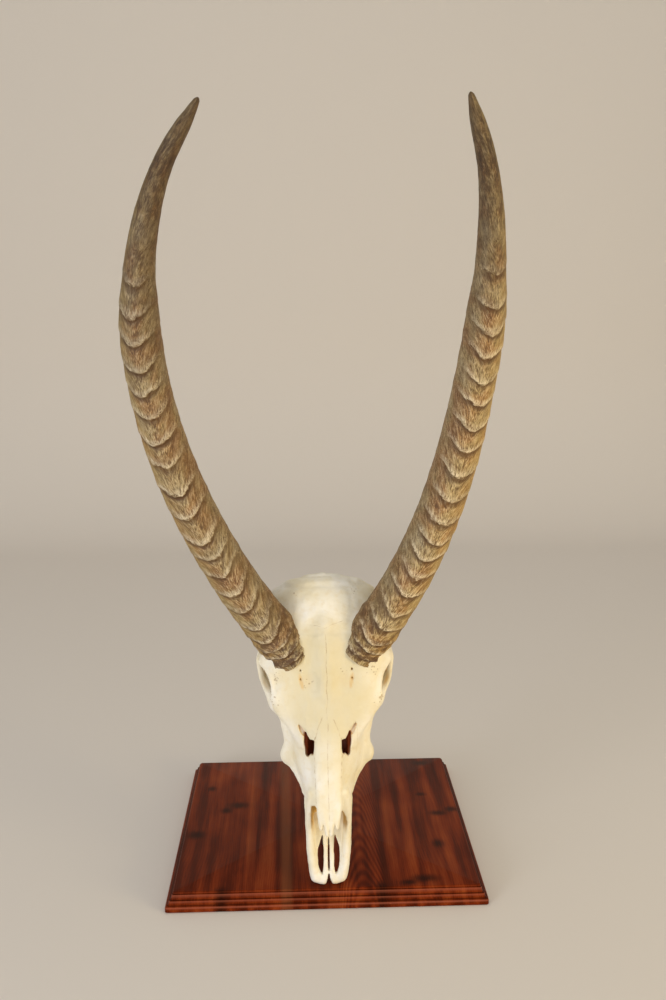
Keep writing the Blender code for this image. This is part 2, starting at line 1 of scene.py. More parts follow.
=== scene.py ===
"""Looks of a waterbuck skull mount: bleached skull and ringed horns on a varnished base."""

from functools import partial
from math import cos, pi, radians, sin

import bmesh
import bpy
import numpy as np
import openvdb
from mathutils import Euler, Matrix, Vector


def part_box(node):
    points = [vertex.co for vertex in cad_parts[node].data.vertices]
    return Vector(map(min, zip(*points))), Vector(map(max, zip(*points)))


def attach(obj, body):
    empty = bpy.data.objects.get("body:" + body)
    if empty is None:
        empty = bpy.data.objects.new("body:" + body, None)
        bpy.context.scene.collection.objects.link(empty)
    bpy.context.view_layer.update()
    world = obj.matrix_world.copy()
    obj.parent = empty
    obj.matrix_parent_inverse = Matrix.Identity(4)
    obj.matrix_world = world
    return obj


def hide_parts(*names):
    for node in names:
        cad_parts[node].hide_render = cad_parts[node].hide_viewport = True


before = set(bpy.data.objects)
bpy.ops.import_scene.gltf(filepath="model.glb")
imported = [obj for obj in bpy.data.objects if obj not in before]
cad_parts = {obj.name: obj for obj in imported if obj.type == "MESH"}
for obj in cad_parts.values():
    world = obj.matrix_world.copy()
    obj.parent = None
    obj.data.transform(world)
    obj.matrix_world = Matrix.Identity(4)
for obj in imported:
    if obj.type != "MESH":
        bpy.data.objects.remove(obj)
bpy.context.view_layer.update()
MM = 0.001
SMOOTH = {"interpolation_type": "SMOOTHSTEP"}

# Camera: about 1.27 m in front of the base and 0.71 m up, tipped 11 degrees down, where
# the forehead is seen square on and the top of the board is foreshortened.
CAMERA_PLACE = (-0.0240, -1.2687, 0.7115)
CAMERA_DOWN = radians(10.974)
CAMERA_TURN = radians(-1.802)
CAMERA_ROLL = radians(-0.447)
camera_data = bpy.data.cameras.new("camera")
camera_data.sensor_fit = "VERTICAL"
camera_data.sensor_height = 36.0
camera_data.sensor_width = 36.0
camera_data.lens = 36.0
camera = bpy.data.objects.new("camera", camera_data)
bpy.context.scene.collection.objects.link(camera)
aim = Matrix.Rotation(CAMERA_TURN, 4, "Z") @ Matrix.Rotation(pi / 2 - CAMERA_DOWN, 4, "X")
camera.matrix_world = Matrix.Translation(CAMERA_PLACE) @ aim @ Matrix.Rotation(CAMERA_ROLL, 4, "Z")
bpy.context.scene.camera = camera


# Base board: staves of stained hardwood, glued side by side with the grain running back
# to front, planed flat, moulded with a router on all four sides and satin varnished.
TOP_WIDTH, TOP_DEPTH = 370, 346
BOARD_HEIGHT = 22
CORNER_RADIUS = 3
CORNER_STEPS = 8
# The moulding from the underside up: height, and how far it stands out past the top
MOULDING = [(0, 8.4), (0.3, 9.4), (1.0, 10), (6.0, 10), (6.8, 9.8), (7.4, 9.2), (7.6, 8.0),
            (8.0, 7.0), (9.0, 6.1), (10.5, 5.7), (12.4, 5.6), (13.0, 5.5), (13.2, 5.0),
            (13.3, 4.0), (13.9, 3.4), (15.0, 2.9), (17.0, 2.4), (18.6, 2.3), (19.4, 2.2),
            (19.5, 1.4), (20.2, 1.3), (21.2, 1.0), (21.8, 0.3), (22, -0.6)]
BOARD_UNDER_EDGE = 7.4


def tint(code):
    """A colour from its sRGB hex code, as linear red, green, blue and alpha."""
    parts = [int(code[k:k + 2], 16) / 255 for k in (1, 3, 5)]
    return (*(p / 12.92 if p <= 0.04045 else ((p + 0.055) / 1.055) ** 2.4 for p in parts), 1.0)


def feed(node, feeds):
    """Fills a node's inputs, in order or by key, with values, sockets or other nodes."""
    for key, value in feeds.items() if isinstance(feeds, dict) else enumerate(feeds):
        if isinstance(value, bpy.types.Node):
            value = next(socket for socket in value.outputs if socket.enabled)
        if isinstance(value, bpy.types.NodeSocket):
            node.id_data.links.new(value, node.inputs[key])
        else:
            node.inputs[key].default_value = value


def add_node(tree, kind, feeds=(), operation=None, **settings):
    """Adds a node of a kind, which may be named without the word ShaderNode at its start."""
    node = tree.nodes.new(kind if "Node" in kind else "ShaderNode" + kind)
    if operation:
        node.operation = operation
    for name, value in settings.items():
        setattr(node, name, value)
    feed(node, feeds)
    return node


def set_stops(ramp, stops):
    """Gives a colour ramp its stops: place and sRGB hex code."""
    row = ramp.color_ramp.elements
    while len(row) < len(stops):
        row.new(1.0)
    for stop, (place, code) in zip(row, stops):
        stop.position = place
        stop.color = tint(code)
    return ramp


def new_finish(name):
    """A new material, the function that adds nodes to it, and its surface shader."""
    made = bpy.data.materials.new(name)
    made.use_nodes = True
    return made, partial(add_node, made.node_tree), made.node_tree.nodes["Principled BSDF"]


def loft(rings):
    """A closed mesh through rings of equal length, with a fan over each end."""
    form = bmesh.new()
    made = [[form.verts.new(point) for point in ring] for ring in rings]
    count = len(made[0])
    for lower, upper in zip(made, made[1:]):
        for k in range(count):
            after = (k + 1) % count
            form.faces.new((lower[k], lower[after], upper[after], upper[k]))
    for ring in (made[0], made[-1]):
        hub = form.verts.new(sum((vert.co for vert in ring), Vector()) / count)
        for k in range(count):
            form.faces.new((ring[k], ring[(k + 1) % count], hub))
    bmesh.ops.recalc_face_normals(form, faces=form.faces)
    return form


def piece(name, form, finish, slot, *nodes, sharp=30):
    """Makes the object, gives it its finish and puts it in the place of its CAD nodes."""
    mesh = form
    if isinstance(form, bmesh.types.BMesh):
        mesh = bpy.data.meshes.new(name)
        form.to_mesh(mesh)
        form.free()
    mesh.shade_smooth()
    mesh.set_sharp_from_angle(angle=radians(sharp))
    mesh.materials.clear()
    mesh.materials.append(finish)
    made = bpy.data.objects.new(name, mesh)
    bpy.context.scene.collection.objects.link(made)
    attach(made, "root")
    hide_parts(*nodes)
    return made


def board_ring(height, stand_out):
    """The board's outline at a height, with rounded corners."""
    half_x = TOP_WIDTH / 2 + stand_out
    half_y = TOP_DEPTH / 2 + stand_out
    ring = []
    for quarter, (sign_x, sign_y) in enumerate(((1, 1), (-1, 1), (-1, -1), (1, -1))):
        for k in range(CORNER_STEPS + 1):
            angle = (quarter + k / CORNER_STEPS) * pi / 2
            ring.append(Vector((sign_x * (half_x - CORNER_RADIUS) + CORNER_RADIUS * cos(angle),
                                sign_y * (half_y - CORNER_RADIUS) + CORNER_RADIUS * sin(angle),
                                height)) * MM)
    return ring


# Stained hardwood under satin varnish: an oil stain takes darker in the soft early wood,
# and the amber coat over it gives one even, warm gloss.
hardwood, put, shader = new_finish("stained_hardwood_satin_varnish")
place = put("TexCoord").outputs["Object"]
in_mm = put("VectorMath", {0: place, "Scale": 1000.0}, "SCALE")
split = put("SeparateXYZ", (in_mm,))
across, deep = split.outputs["X"], split.outputs["Y"]
# Noises drawn out along the grain: the slow drift of its lines, pores, bands and blotches
grain = {}
for name, scale, detail, rough in (
        ("drift", (0.012, 0.0035, 0.01), 2.0, 0.5), ("pores", (1.5, 0.045, 0.5), 3.0, 0.6),
        ("bands", (0.075, 0.004, 0.05), 3.0, 0.5), ("blotch", (0.02, 0.011, 0.02), 2.0, 0.5)):
    spot = put("Mapping", {0: in_mm, "Scale": scale})
    grain[name] = put("TexNoise", {"Vector": spot, "Scale": 1.0, "Detail": detail, "Roughness": rough})
pores = grain["pores"]
bend = put("Math", (grain["drift"], 0.5), "SUBTRACT")
# Cathedral arches on the stave right of the muzzle: ring lines that close towards the back
ARCH_X, ARCH_WIDTH, ARCH_LENGTH, ARCH_RINGS = 44.0, 26.0, 95.0, 26.0
off = put("Math", (across, ARCH_X), "SUBTRACT")
off = put("Math", (off, ARCH_WIDTH), "DIVIDE")
reach = put("Math", (deep, ARCH_LENGTH), "DIVIDE")
arch = put("Math", (off, off, reach), "MULTIPLY_ADD")
arch = put("Math", (bend, 1.6, arch), "MULTIPLY_ADD")
arch = put("Math", (arch, ARCH_RINGS), "MULTIPLY")
arch = put("Math", (arch,), "SINE")
in_arch = put("Math", (off,), "ABSOLUTE")
in_arch = put("MapRange", (in_arch, 0.9, 1.35, 1.0, 0.0), **SMOOTH)
# Straight grain: growth rings cut along the stave, about 3 mm apart
line = put("Math", (bend, 46.0, across), "MULTIPLY_ADD")
line = put("Math", (line, 2.1), "MULTIPLY")
line = put("Math", (line,), "SINE")
rings = put("Mix", {0: in_arch, 2: line, 3: arch}, data_type="FLOAT")
weight = put("MapRange", (in_arch, 0.0, 1.0, 0.025, 0.085))
tone = put("Math", (rings, weight, grain["bands"]), "MULTIPLY_ADD")
tone = put("Math", (pores, 0.34, tone), "MULTIPLY_ADD")
tone = put("Math", (grain["blotch"], 0.45, tone), "MULTIPLY_ADD")
tone = put("MapRange", (tone, 0.55, 1.25, 0.0, 1.0))
stain_and_painted_light = set_stops(put("ValToRGB", (tone,)), [
    (0.0, "#2c0b02"), (0.35, "#4f1805"), (0.6, "#722a0d"), (1.0, "#94461e")])
# The pale sapwood edge of one stave, left of the muzzle
SAPWOOD_X, SAPWOOD_HALF, SAPWOOD_FADE = -52.5, 3.0, 7.0
side = put("Math", (deep, 0.018, across), "MULTIPLY_ADD")
side = put("Math", (bend, 3.0, side), "MULTIPLY_ADD")
side = put("Math", (side, SAPWOOD_X), "SUBTRACT")
side = put("Math", (side,), "ABSOLUTE")
sap = put("MapRange", (side, SAPWOOD_HALF, SAPWOOD_HALF + SAPWOOD_FADE, 0.6, 0.0), **SMOOTH)
layers = [(sap, "#784427")]
# Glue joints between the staves: x where each crosses the middle, and its slope
for joint_x, joint_slope in ((-100.0, 0.01), (-45.0, -0.02), (-6.0, 0.012), (75.0, -0.038),
                             (128.0, 0.008)):
    joint = put("Math", (deep, joint_slope, across), "MULTIPLY_ADD")
    joint = put("Math", (joint, joint_x), "SUBTRACT")
    shade = put("MapRange", (joint, -0.4, 0.4, 0.0, 1.0))
    bell = put("MapRange", (joint, 0.4, 24.0, 0.16, 0.0))
    layers.append((put("Math", (shade, bell), "MULTIPLY"), "#1b0702"))
# Dark knots and flecks: x, y, half length across and along the grain
KNOTS = [(-161, 87, 7, 9), (-118, 36, 16, 11), (-135, 22, 9, 9), (-171, -42, 13, 12),
         (151, 156, 13, 9), (140, 57, 8, 6), (158, 2, 14, 8), (178, 12, 12, 8),
         (147, -77, 8, 11), (120, -157, 19, 9), (100, -165, 12, 6), (66, -176, 8, 14),
         (-128, -178, 9, 14)]
for knot_x, knot_y, half_x, half_y in KNOTS:
    near = put("Mapping", {0: in_mm, "Location": (-knot_x / half_x, -knot_y / half_y, 0),
                           "Scale": (1 / half_x, 1 / half_y, 0.0)})
    near = put("VectorMath", (near,), "LENGTH")
    near = put("Math", (pores, 1.1, near), "MULTIPLY_ADD")
    layers.append((put("MapRange", (near, 0.7, 2.0, 0.85, 0.0), **SMOOTH), "#1a0703"))
# On the moulding, painted highlight bands on the raised edges and painted shade lines in the coves, set by
# height
height = put("MapRange", (split.outputs["Z"], 0.0, BOARD_HEIGHT, 0.0, 1.0))
painted_moulding_light = set_stops(put("ValToRGB", (height,)), [
    (0.0, "#606060"), (0.20, "#8c8c8c"), (0.30, "#ffffff"), (0.35, "#202020"), (0.42, "#707070"),
    (0.56, "#e8e8e8"), (0.60, "#101010"), (0.66, "#808080"), (0.85, "#f0f0f0"), (0.885, "#101010"),
    (0.95, "#a0a0a0"), (0.985, "#808080")])
# Painted highlight on the moulding's raised edges, then painted shade in its coves
layers.append((put("MapRange", (painted_moulding_light, 0.22, 1.0, 0.0, 0.55)), "#a8604a"))
layers.append((put("MapRange", (painted_moulding_light, 0.005, 0.12, 0.75, 0.0)), "#1d0703"))
# The wood's colour takes these layers: stain, grain, joints and knots, and the moulding's painted light
for amount, code in layers:
    stain_and_painted_light = put("Mix", {0: amount, 6: stain_and_painted_light, 7: tint(code)}, data_type="RGBA")
feed(shader, {
    "Base Color": stain_and_painted_light, "Roughness": put("MapRange", (pores, 0.3, 0.7, 0.36, 0.50)),
    "Normal": put("Bump", {"Height": pores, "Strength": 0.12, "Distance": 0.0004}),
    "Specular IOR Level": 0.12, "Specular Tint": tint("#ff9a6a")})

board_rings = [board_ring(0, BOARD_UNDER_EDGE)] + [board_ring(*row) for row in MOULDING]
piece("board", loft(board_rings), hardwood, "wood", "base_board", sharp=40)


# Support rod: drawn mild steel bar, 12 mm thick, its ends turned to a small chamfer. It
# stands in a blind hole in the board and holds the skull from behind the muzzle.
ROD_RADIUS = 6.0
ROD_CHAMFER = 0.8
ROD_SIDES = 48
low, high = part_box("support_rod")
rod_x = (low.x + high.x) / 2 / MM
rod_y = (low.y + high.y) / 2 / MM
rod_low, rod_high = low.z / MM, high.z / MM


def rod_ring(height, radius):
    """A circle round the rod's axis."""
    return [Vector((rod_x + radius * cos(2 * pi * k / ROD_SIDES),
                    rod_y + radius * sin(2 * pi * k / ROD_SIDES), height)) * MM for k in range(ROD_SIDES)]


# Drawn steel: fine lengthwise die lines that stretch the highlight
steel, put, shader = new_finish("drawn_mild_steel")
place = put("TexCoord").outputs["Object"]
place = put("Mapping", {0: place, "Scale": (2500.0, 2500.0, 12.0)})
die_lines = put("TexNoise", {"Vector": place, "Scale": 1.0, "Detail": 2.0})
feed(shader, {
    "Base Color": set_stops(put("ValToRGB", (die_lines,)), [(0.3, "#8c8b88"), (0.7, "#b5b3ae")]),
    "Roughness": put("MapRange", (die_lines, 0.3, 0.7, 0.26, 0.42)), "Metallic": 1.0})
rod_rings = [rod_ring(rod_low, ROD_RADIUS - ROD_CHAMFER), rod_ring(rod_low + ROD_CHAMFER, ROD_RADIUS),
             rod_ring(rod_high - ROD_CHAMFER, ROD_RADIUS), rod_ring(rod_high, ROD_RADIUS - ROD_CHAMFER)]
piece("rod", loft(rod_rings), steel, "steel", "support_rod")


# Cranium: the skull's bones, grown together, boiled and bleached white, with an ochre tint in the hollows.
# It is shaped here as a solid field: rounded bars, lofts and
# lumps of bone melted into one another, then the nose, orbits and fossae hollowed out.
LEAN_BACK = radians(15.0)
LEAN_SIDE = radians(-0.75)
SKULL_ORIGIN = Vector((5.0, -208.9, 33.8))
skull_turn = Euler((pi / 2 - LEAN_BACK, LEAN_SIDE, 0))
skull_pose = Matrix.Translation(SKULL_ORIGIN * MM) @ skull_turn.to_matrix().to_4x4()
# Sections in the skull's frame, in mm: y from the nose tip up, half width, top z, bottom z,
# flare (wider below than above), squareness (2 is an ellipse)
FACE = [(88, 23.0, -13.0, -54, 0.04, 2.5), (98, 26.0, -8.0, -56, 0.08, 2.5),
        (112, 28.5, -3.5, -61, 0.12, 2.5), (128, 31.5, -1.0, -67, 0.22, 2.4),
        (145, 37.5, 0.5, -73, 0.30, 2.4), (162, 41.5, 1.5, -77, 0.31, 2.4),
        (180, 44.5, 2.5, -81, 0.24, 2.4), (198, 48.0, 3.0, -84, 0.12, 2.4),
        (214, 47.0, 3.5, -86, 0.00, 2.4), (232, 36.0, 3.5, -80, 0.00, 2.3)]
BRIDGE = [(76, 9.5, -3.0, -9, 0.0, 2.6), (88, 12.5, -1.5, -9, 0.0, 2.6),
          (104, 15.0, 0.3, -10, 0.0, 2.6), (130, 16.0, 2.6, -10, 0.0, 2.5),
          (160, 16.5, 4.2, -10, 0.0, 2.4), (185, 15.5, 5.0, -10, 0.0, 2.3),
          (210, 11.0, 5.4, -10, 0.0, 2.2), (232, 5.0, 4.0, -10, 0.0, 2.0)]
FRONTAL = [(168, 20, -9.0, -24, 0.0, 2.2), (184, 38, -5.0, -25, 0.0, 2.2),
           (200, 52, -1.0, -25, 0.0, 2.2), (214, 61, 2.0, -24, 0.0, 2.2),
           (228, 63, 4.2, -22, 0.0, 2.2), (240, 62, 6.2, -21, 0.0, 2.2),
           (253, 63, 7.4, -23, 0.0, 2.2), (270, 74, 8.2, -27, 0.0, 2.2),
           (288, 70, 8.6, -30, 0.0, 2.2), (306, 56, 6.0, -34, 0.0, 2.2),
           (322, 52, 0.0, -40, 0.0, 2.2), (336, 54, -8.0, -46, 0.0, 2.2),
           (349, 50, -16.5, -52, 0.0, 2.2), (360, 38, -24.5, -56, 0.0, 2.2)]
SPHENOID = [(206, 30, 0, -74, 0.0, 2.4), (228, 25, 3, -82, 0.0, 2.6),
            (250, 23, 5, -86, 0.0, 2.8), (272, 25, 6, -88, 0.0, 2.6),
            (296, 36, 6, -86, 0.0, 2.4)]
OCCIPUT = [(300, 46, -34, -78, 0.0, 2.3), (316, 61, -23, -84, 0.0, 2.3),
           (334, 67, -16, -90, 0.0, 2.4), (350, 65, -19, -94, 0.0, 2.4),
           (360, 54, -25, -94, 0.0, 2.4), (368, 41, -30, -90, 0.0, 2.3),
           (373, 24, -34, -82, 0.0, 2.2)]
MUZZLE = [(0.4, 12.0, -43.5, -49, 0.0, 2.6), (3.5, 18.0, -41.5, -51, 0.0, 2.6),
          (9, 21.6, -40.5, -52, 0.0, 2.6), (22, 24.3, -41, -51.5, 0.0, 2.6),
          (44, 25.7, -42.5, -51, 0.0, 2.8), (64, 26.4, -43.5, -52.5, 0.0, 2.8),
          (84, 26.6, -44.5, -56, 0.0, 2.8), (106, 27.6, -46, -61, 0.0, 2.8)]
# Rounded bars on the animal's left, mirrored: softness of the join, then x, y, z, radius
BARS = {
    "premaxilla": (4, [(16.5, 10, -44, 4.6), (19.4, 22, -42, 5.0), (21.4, 42, -39, 5.0),
                       (22.4, 64, -34, 5.2), (22.4, 84, -26, 5.4), (21.0, 101, -17, 5.6),
                       (19, 118, -10, 5.5)]),
    "premaxilla_wall": (4, [(21.5, 40, -43, 4.4), (22.8, 64, -41, 4.8), (23.4, 90, -36, 5.4),
                            (23.6, 106, -32, 5.2)]),
    "palatine_rod": (1.5, [(4.6, 10, -45.5, 3.0), (3.9, 24, -46, 2.6), (3.8, 44, -46.5, 2.6),
                           (4.0, 66, -47, 3.0)]),
    "nasal_inner_tip": (2, [(2.4, 69.5, -5.0, 2.2), (4.0, 82, -4.6, 3.4), (6.5, 98, -4.4, 4.6)]),
    "nasal_outer_tip": (2, [(9.8, 76, -6.0, 2.1), (10.6, 88, -5.4, 3.3), (11.5, 104, -5.0, 4.8)]),
    "tooth_row": (8, [(23.5, 110, -60, 6.0), (29.5, 140, -69, 9.5), (36, 172, -76, 11),
                      (38, 202, -82, 11), (36, 218, -80, 9)]),
    "facial_crest": (9, [(25, 114, -55, 5.0), (37, 136, -57, 5.5), (50.0, 155, -57.5, 6.5),
                         (44.5, 171, -56, 8.0), (46, 188, -53, 9.5), (50, 206, -52, 9.5),
                         (60, 218, -53, 9.0)]),
    "cheek_arch": (5, [(59, 218, -57, 8.5), (68.0, 228, -57, 6.5), (76.5, 243, -54, 4.0),
                       (81.5, 262, -52, 3.6), (80, 280, -54, 4.5), (72, 292, -62, 7.0),
                       (64, 301, -67, 9.0), (50, 312, -68, 13.0)]),
    "orbit_front": (8, [(62, 231, -10, 3.6), (59, 221, -15, 5.5), (56, 214, -26, 6.5),
                        (56, 213, -42, 7.0), (62, 221, -54, 7.5)]),
    "orbit_top": (3, [(57, 221, -11, 4.2), (63, 233, -9, 3.2), (64, 249, -6, 3.0),
                      (67.5, 262, -7, 3.4), (74.0, 274, -13, 5.6)]),
    "orbit_back": (5, [(72, 276, -13, 6.2), (76.5, 278, -28, 5.0), (78, 278, -42, 4.8),
                       (79, 272, -54, 4.6)]),
    "horn_seat": (18, [(40, 268, -22, 20), (46, 284, -23, 26), (48, 294, -18, 22)]),
    "skull_base": (8, [(0, 358, -86, 10), (0, 334, -86, 13), (0, 300, -80, 14), (0, 270, -74, 13)]),
    "base_tubercle": (4, [(8, 326, -96, 5), (8, 312, -94, 6)]),
    "pterygoid": (3, [(14, 232, -82, 4.5), (14, 252, -90, 4.2), (14.5, 264, -95, 3.6)]),
    "paroccipital": (6, [(47, 342, -80, 14), (45, 349, -98, 9.5), (42, 347, -112, 6.5),
                         (40, 342, -124, 3.6)]),
    "nuchal_crest": (7, [(64, 336, -64, 5.5), (66, 349, -50, 5.0), (50, 361.5, -42, 4.4),
                         (24, 368, -38, 4.4), (0, 368.5, -37, 4.4)]),
    "midline_crest": (10, [(0, 364, -34, 3.0), (0, 350, -19, 3.0), (0, 326, -5, 3.0)]),
    "brow_rise": (16, [(0, 312, 2, 5), (0, 290, 5.5, 6), (0, 262, 4.5, 5), (0, 236, 2.0, 4)]),
}
# Ellipsoids, mirrored: softness, centre, radii
LUMPS = {
    "braincase": (16, (0, 318, -44), (50, 55, 43)),
    "facial_tuber": (4, (50.0, 154, -57.5), (7.0, 8.5, 7.5)),
    "crest_knob": (2, (0, 373.8, -36), (4.2, 4.2, 5)),
    "crest_bead": (2, (12.5, 371.8, -38), (3.2, 2.4, 4)),
    "bulla": (4, (31, 318, -93), (11, 15, 13)),
    "condyle": (5, (17, 360, -93), (13.5, 13, 17)),
    "jaw_joint": (6, (54, 302, -70), (16, 11, 9)),
    "orbit_floor": (5, (71, 247, -63), (9, 21, 5)),
}
AIRWAY = [(66, 15, -12, -41, 0.0, 2.4), (98, 18, -9, -44, 0.08, 2.6),
          (130, 24, -8, -52, 0.15, 2.6), (165, 30, -8, -58, 0.15, 2.6),
          (195, 26, -12, -62, 0.0, 2.4), (222, 15, -30, -70, 0.0, 2.3),
          (240, 12, -44, -78, 0.0, 2.3), (256, 10, -56, -88, 0.0, 2.3)]
PALATE_VAULT = [(98, 11, -55, -80, 0.0, 2.2), (130, 15, -60, -90, 0.0, 2.3),
                (170, 19, -67, -100, 0.0, 2.3), (206, 23, -72, -112, 0.0, 2.3),
                (222, 16, -72, -118, 0.0, 2.3)]
CHOANA = [(214, 9, -70, -124, 0.0, 2.6), (236, 11, -64, -124, 0.0, 2.6),
          (262, 9.5, -62, -124, 0.0, 2.6)]
HOLLOW_BARS = {
    "brow_slit": (2, [(28.6, 241, 8.5, 1.6), (30.0, 250, 7.0, 2.4), (31.8, 259, 8.5, 1.4)]),
    "brow_canal": (1, [(30.2, 251, 7, 1.3), (31.5, 255, -2, 1.2)]),
    "brow_dot": (0.5, [(30.5, 263.5, 12, 1.4), (30.5, 263, 1, 1.4)]),
}
HOLLOW_LUMPS = {
    "orbit": (3, (63, 245, -31), (35, 25.0, 22.5)),
    "orbit_mouth": (2, (84, 247, -26), (15, 16, 22)),
    "temporal_fossa": (5, (53, 286, -80), (11, 21, 29)),
    "below_orbit": (5, (45, 248, -76), (18, 18, 24)),
    "foramen_magnum": (3, (0, 376, -80), (13.5, 30, 12)),
    "brow_dip": (7, (22, 246, 13.5), (10.5, 14, 6.5)),
    "ear_hole": (2, (56, 318, -84), (14, 4.5, 4.5)),
}
# Openings with outlines of their own, seen from the front: softness, z range, corners
OPENINGS = {
    "nose_notch": (1.5, (-60, -30), [(-2.0, -4), (4.4, -4), (3.2, 3), (1.3, 8), (0.9, 13.5), (-2.0, 13.5)]),
    "rod_gap": (1, (-60, -40), [(-2.0, 16.5), (1.2, 16.5), (1.4, 40), (0.7, 56), (-2.0, 58)]),
    "fissure": (2, (-60, -36), [(7.2, 61), (10.2, 53), (13.0, 44), (13.6, 34), (12.6, 22), (9.8, 13.5),
                                (7.6, 13), (6.4, 20), (6.1, 40)]),
    "nasal_fork": (1, (-20, 10), [(4.4, 64), (5.9, 79), (6.6, 82.5), (7.4, 79), (8.4, 72), (9.2, 64)]),
    "vacuity": (1.5, (-16, 20), [(15.8, 180.5), (21.5, 181), (25.2, 189), (27.0, 194), (27.2, 186),
                                 (28.2, 178), (26.6, 169), (26.0, 162), (23.4, 159), (20.5, 164),
                                 (17.2, 162.5), (16.2, 170)]),
    "vacuity_slit": (0.6, (-6, 20), [(26.2, 188), (29.0, 185), (32.6, 191.5), (35.0, 200), (31.5, 197)]),
}
NASAL_GAPS = {
    "gap_left": (1.5, (-30, 20), [(11.5, 60), (13.0, 79), (14.4, 88), (16.2, 94), (19.0, 87),
                                  (21.0, 78), (19, 60)]),
    "gap_right": (1.5, (-30, 20), [(-11.5, 60), (-12.9, 79), (-14.2, 92), (-14.6, 101.5), (-20.0, 101.5),
                                   (-20.6, 90), (-19.6, 74), (-18.6, 60)]),
}
# The field's cells: half the skull from the midline out, its length and its depth, in mm.
# Far from the bone the field holds one large distance.
STEP = 1.6
GRID = (np.arange(0, 89, STEP), np.arange(-6, 392, STEP), np.arange(-132, 30, STEP))
FAR = 30.0
# How far from its own surface each kind of form is worked out, and how soft the rims of
# the hollows are
FORM_REACH, BAR_REACH, OPENING_REACH = 14, 12, 6
HOLLOW_SOFT = 3


def read_curve(keys, values, where):
    """Smooth curve through a table's rows: cubic pieces with slopes set by the neighbours."""
    slopes = np.gradient(values, keys)
    k = np.clip(np.searchsorted(keys, where) - 1, 0, len(keys) - 2)
    span = keys[k + 1] - keys[k]
    t = np.clip((where - keys[k]) / span, 0, 1)
    rise = values[k + 1] - values[k]
    return (values[k] + slopes[k] * span * t
            + (3 * rise - span * (2 * slopes[k] + slopes[k + 1])) * t ** 2
            + (span * (slopes[k] + slopes[k + 1]) - 2 * rise) * t ** 3)


def window(low, high, reach):
    """The cells within reach of a box, and their x, y and z."""
    cells = []
    axes = []
    for axis, a, b in zip(GRID, low, high):
        first = max(int((a - reach - axis[0]) / STEP), 0)
        last = min(int((b + reach - axis[0]) / STEP) + 2, len(axis))
        cells.append(slice(first, last))
        axes.append(axis[first:last])
    return tuple(cells), np.meshgrid(*axes, indexing="ij", sparse=True)


def loft_distance(sections):
    """Distance to a loft of squared ellipses, true near its surface."""
    table = np.array(sections, float)
    half_most = table[:, 1].max() * 1.3
    cells, (x, y, z) = window((0, table[0, 0], table[:, 3].min()),
                              (half_most, table[-1, 0], table[:, 2].max()), FORM_REACH)
    half, top, bottom, flare, square = (
        read_curve(table[:, 0], column, y.ravel())[None, :, None] for column in table[:, 1:].T)
    high = (top - bottom) / 2
    up = (z - (top + bottom) / 2) / high
    across = x / (half * (1 - flare * np.clip(up, -1.3, 1.3)))
    reach = (np.abs(across) ** square + np.abs(up) ** square) ** (1 / square)
    steep = np.sqrt(sum(slope ** 2 for slope in np.gradient(reach, STEP)))
    away = (reach - 1) / np.maximum(steep, 0.35 / np.minimum(half, high))
    ends = np.maximum(table[0, 0] - y, y - table[-1, 0])
    return cells, np.maximum(away, ends)


def bar_line(points):
    """Points along the smooth bar: each corner point pulls the line without touching it."""
    corners = [np.array(point, float) for point in points]
    middles = [corners[0]] + [(a + b) / 2 for a, b in zip(corners[1:-2], corners[2:-1])] + [corners[-1]]
    pulls = corners[1:-1]
    if not pulls:
        return corners
    line = [corners[0]]
    for start, pull, end in zip(middles, pulls, middles[1:]):
        for t in (0.25, 0.5, 0.75, 1.0):
            line.append(start * (1 - t) ** 2 + pull * 2 * t * (1 - t) + end * t ** 2)
    return line


def bar_distance(points):
    """Distance to a bar whose radius changes along its line."""
    line = bar_line(points)
    thick = max(point[3] for point in points)
    rows = np.array(line)
    cells, (x, y, z) = window(rows[:, :3].min(0), rows[:, :3].max(0), thick + BAR_REACH)
    nearest = None
    for start, end in zip(line, line[1:]):
        run = end[:3] - start[:3]
        along = ((x - start[0]) * run[0] + (y - start[1]) * run[1] + (z - start[2]) * run[2])
        along = np.clip(along / max(run @ run, 1e-6), 0, 1)
        gap = np.sqrt((x - start[0] - along * run[0]) ** 2 + (y - start[1] - along * run[1]) ** 2
                      + (z - start[2] - along * run[2]) ** 2)
        gap -= start[3] + along * (end[3] - start[3])
        nearest = gap if nearest is None else np.minimum(nearest, gap)
    return cells, nearest


def lump_distance(centre, radii):
    """Distance to an ellipsoid, true near its surface."""
    centre, radii = np.array(centre, float), np.array(radii, float)
    cells, (x, y, z) = window(centre - radii, centre + radii, FORM_REACH)
    parts = [(axis - c) for axis, c in zip((x, y, z), centre)]
    scaled = np.sqrt(sum((part / r) ** 2 for part, r in zip(parts, radii)))
    steep = np.sqrt(sum((part / r ** 2) ** 2 for part, r in zip(parts, radii)))
    return cells, scaled * (scaled - 1) / np.maximum(steep, 1e-3)


def prism_distance(heights, corners):
    """Distance to an outline in x and y, drawn through from one height to another."""
    rows = np.array(corners, float)
    cells, (x, y, z) = window((*rows.min(0), heights[0]), (*rows.max(0), heights[1]), OPENING_REACH)
    nearest = np.full(np.broadcast_shapes(x.shape, y.shape), np.inf)
    inside = np.ones(nearest.shape)
    for (ax, ay), (bx, by) in zip(rows, np.roll(rows, 1, axis=0)):
        run_x, run_y = bx - ax, by - ay
        along = np.clip(((x - ax) * run_x + (y - ay) * run_y) / (run_x ** 2 + run_y ** 2), 0, 1)
        nearest = np.minimum(nearest, (x - ax - along * run_x) ** 2 + (y - ay - along * run_y) ** 2)
        low, high = y >= ay, y < by
        left = run_x * (y - ay) > run_y * (x - ax)
        inside = np.where((low & high & left) | (~low & ~high & ~left), -inside, inside)
    away = inside * np.sqrt(nearest)
    return cells, np.maximum(away, np.maximum(heights[0] - z, z - heights[1]))


def melt_in(field, shape, soft):
    """Adds a shape to the bone, with a fillet where they meet."""
    cells, away = shape
    here = field[cells]
    lap = np.maximum(soft - np.abs(here - away), 0) / soft
    field[cells] = np.minimum(here, away) - lap * lap * soft / 4


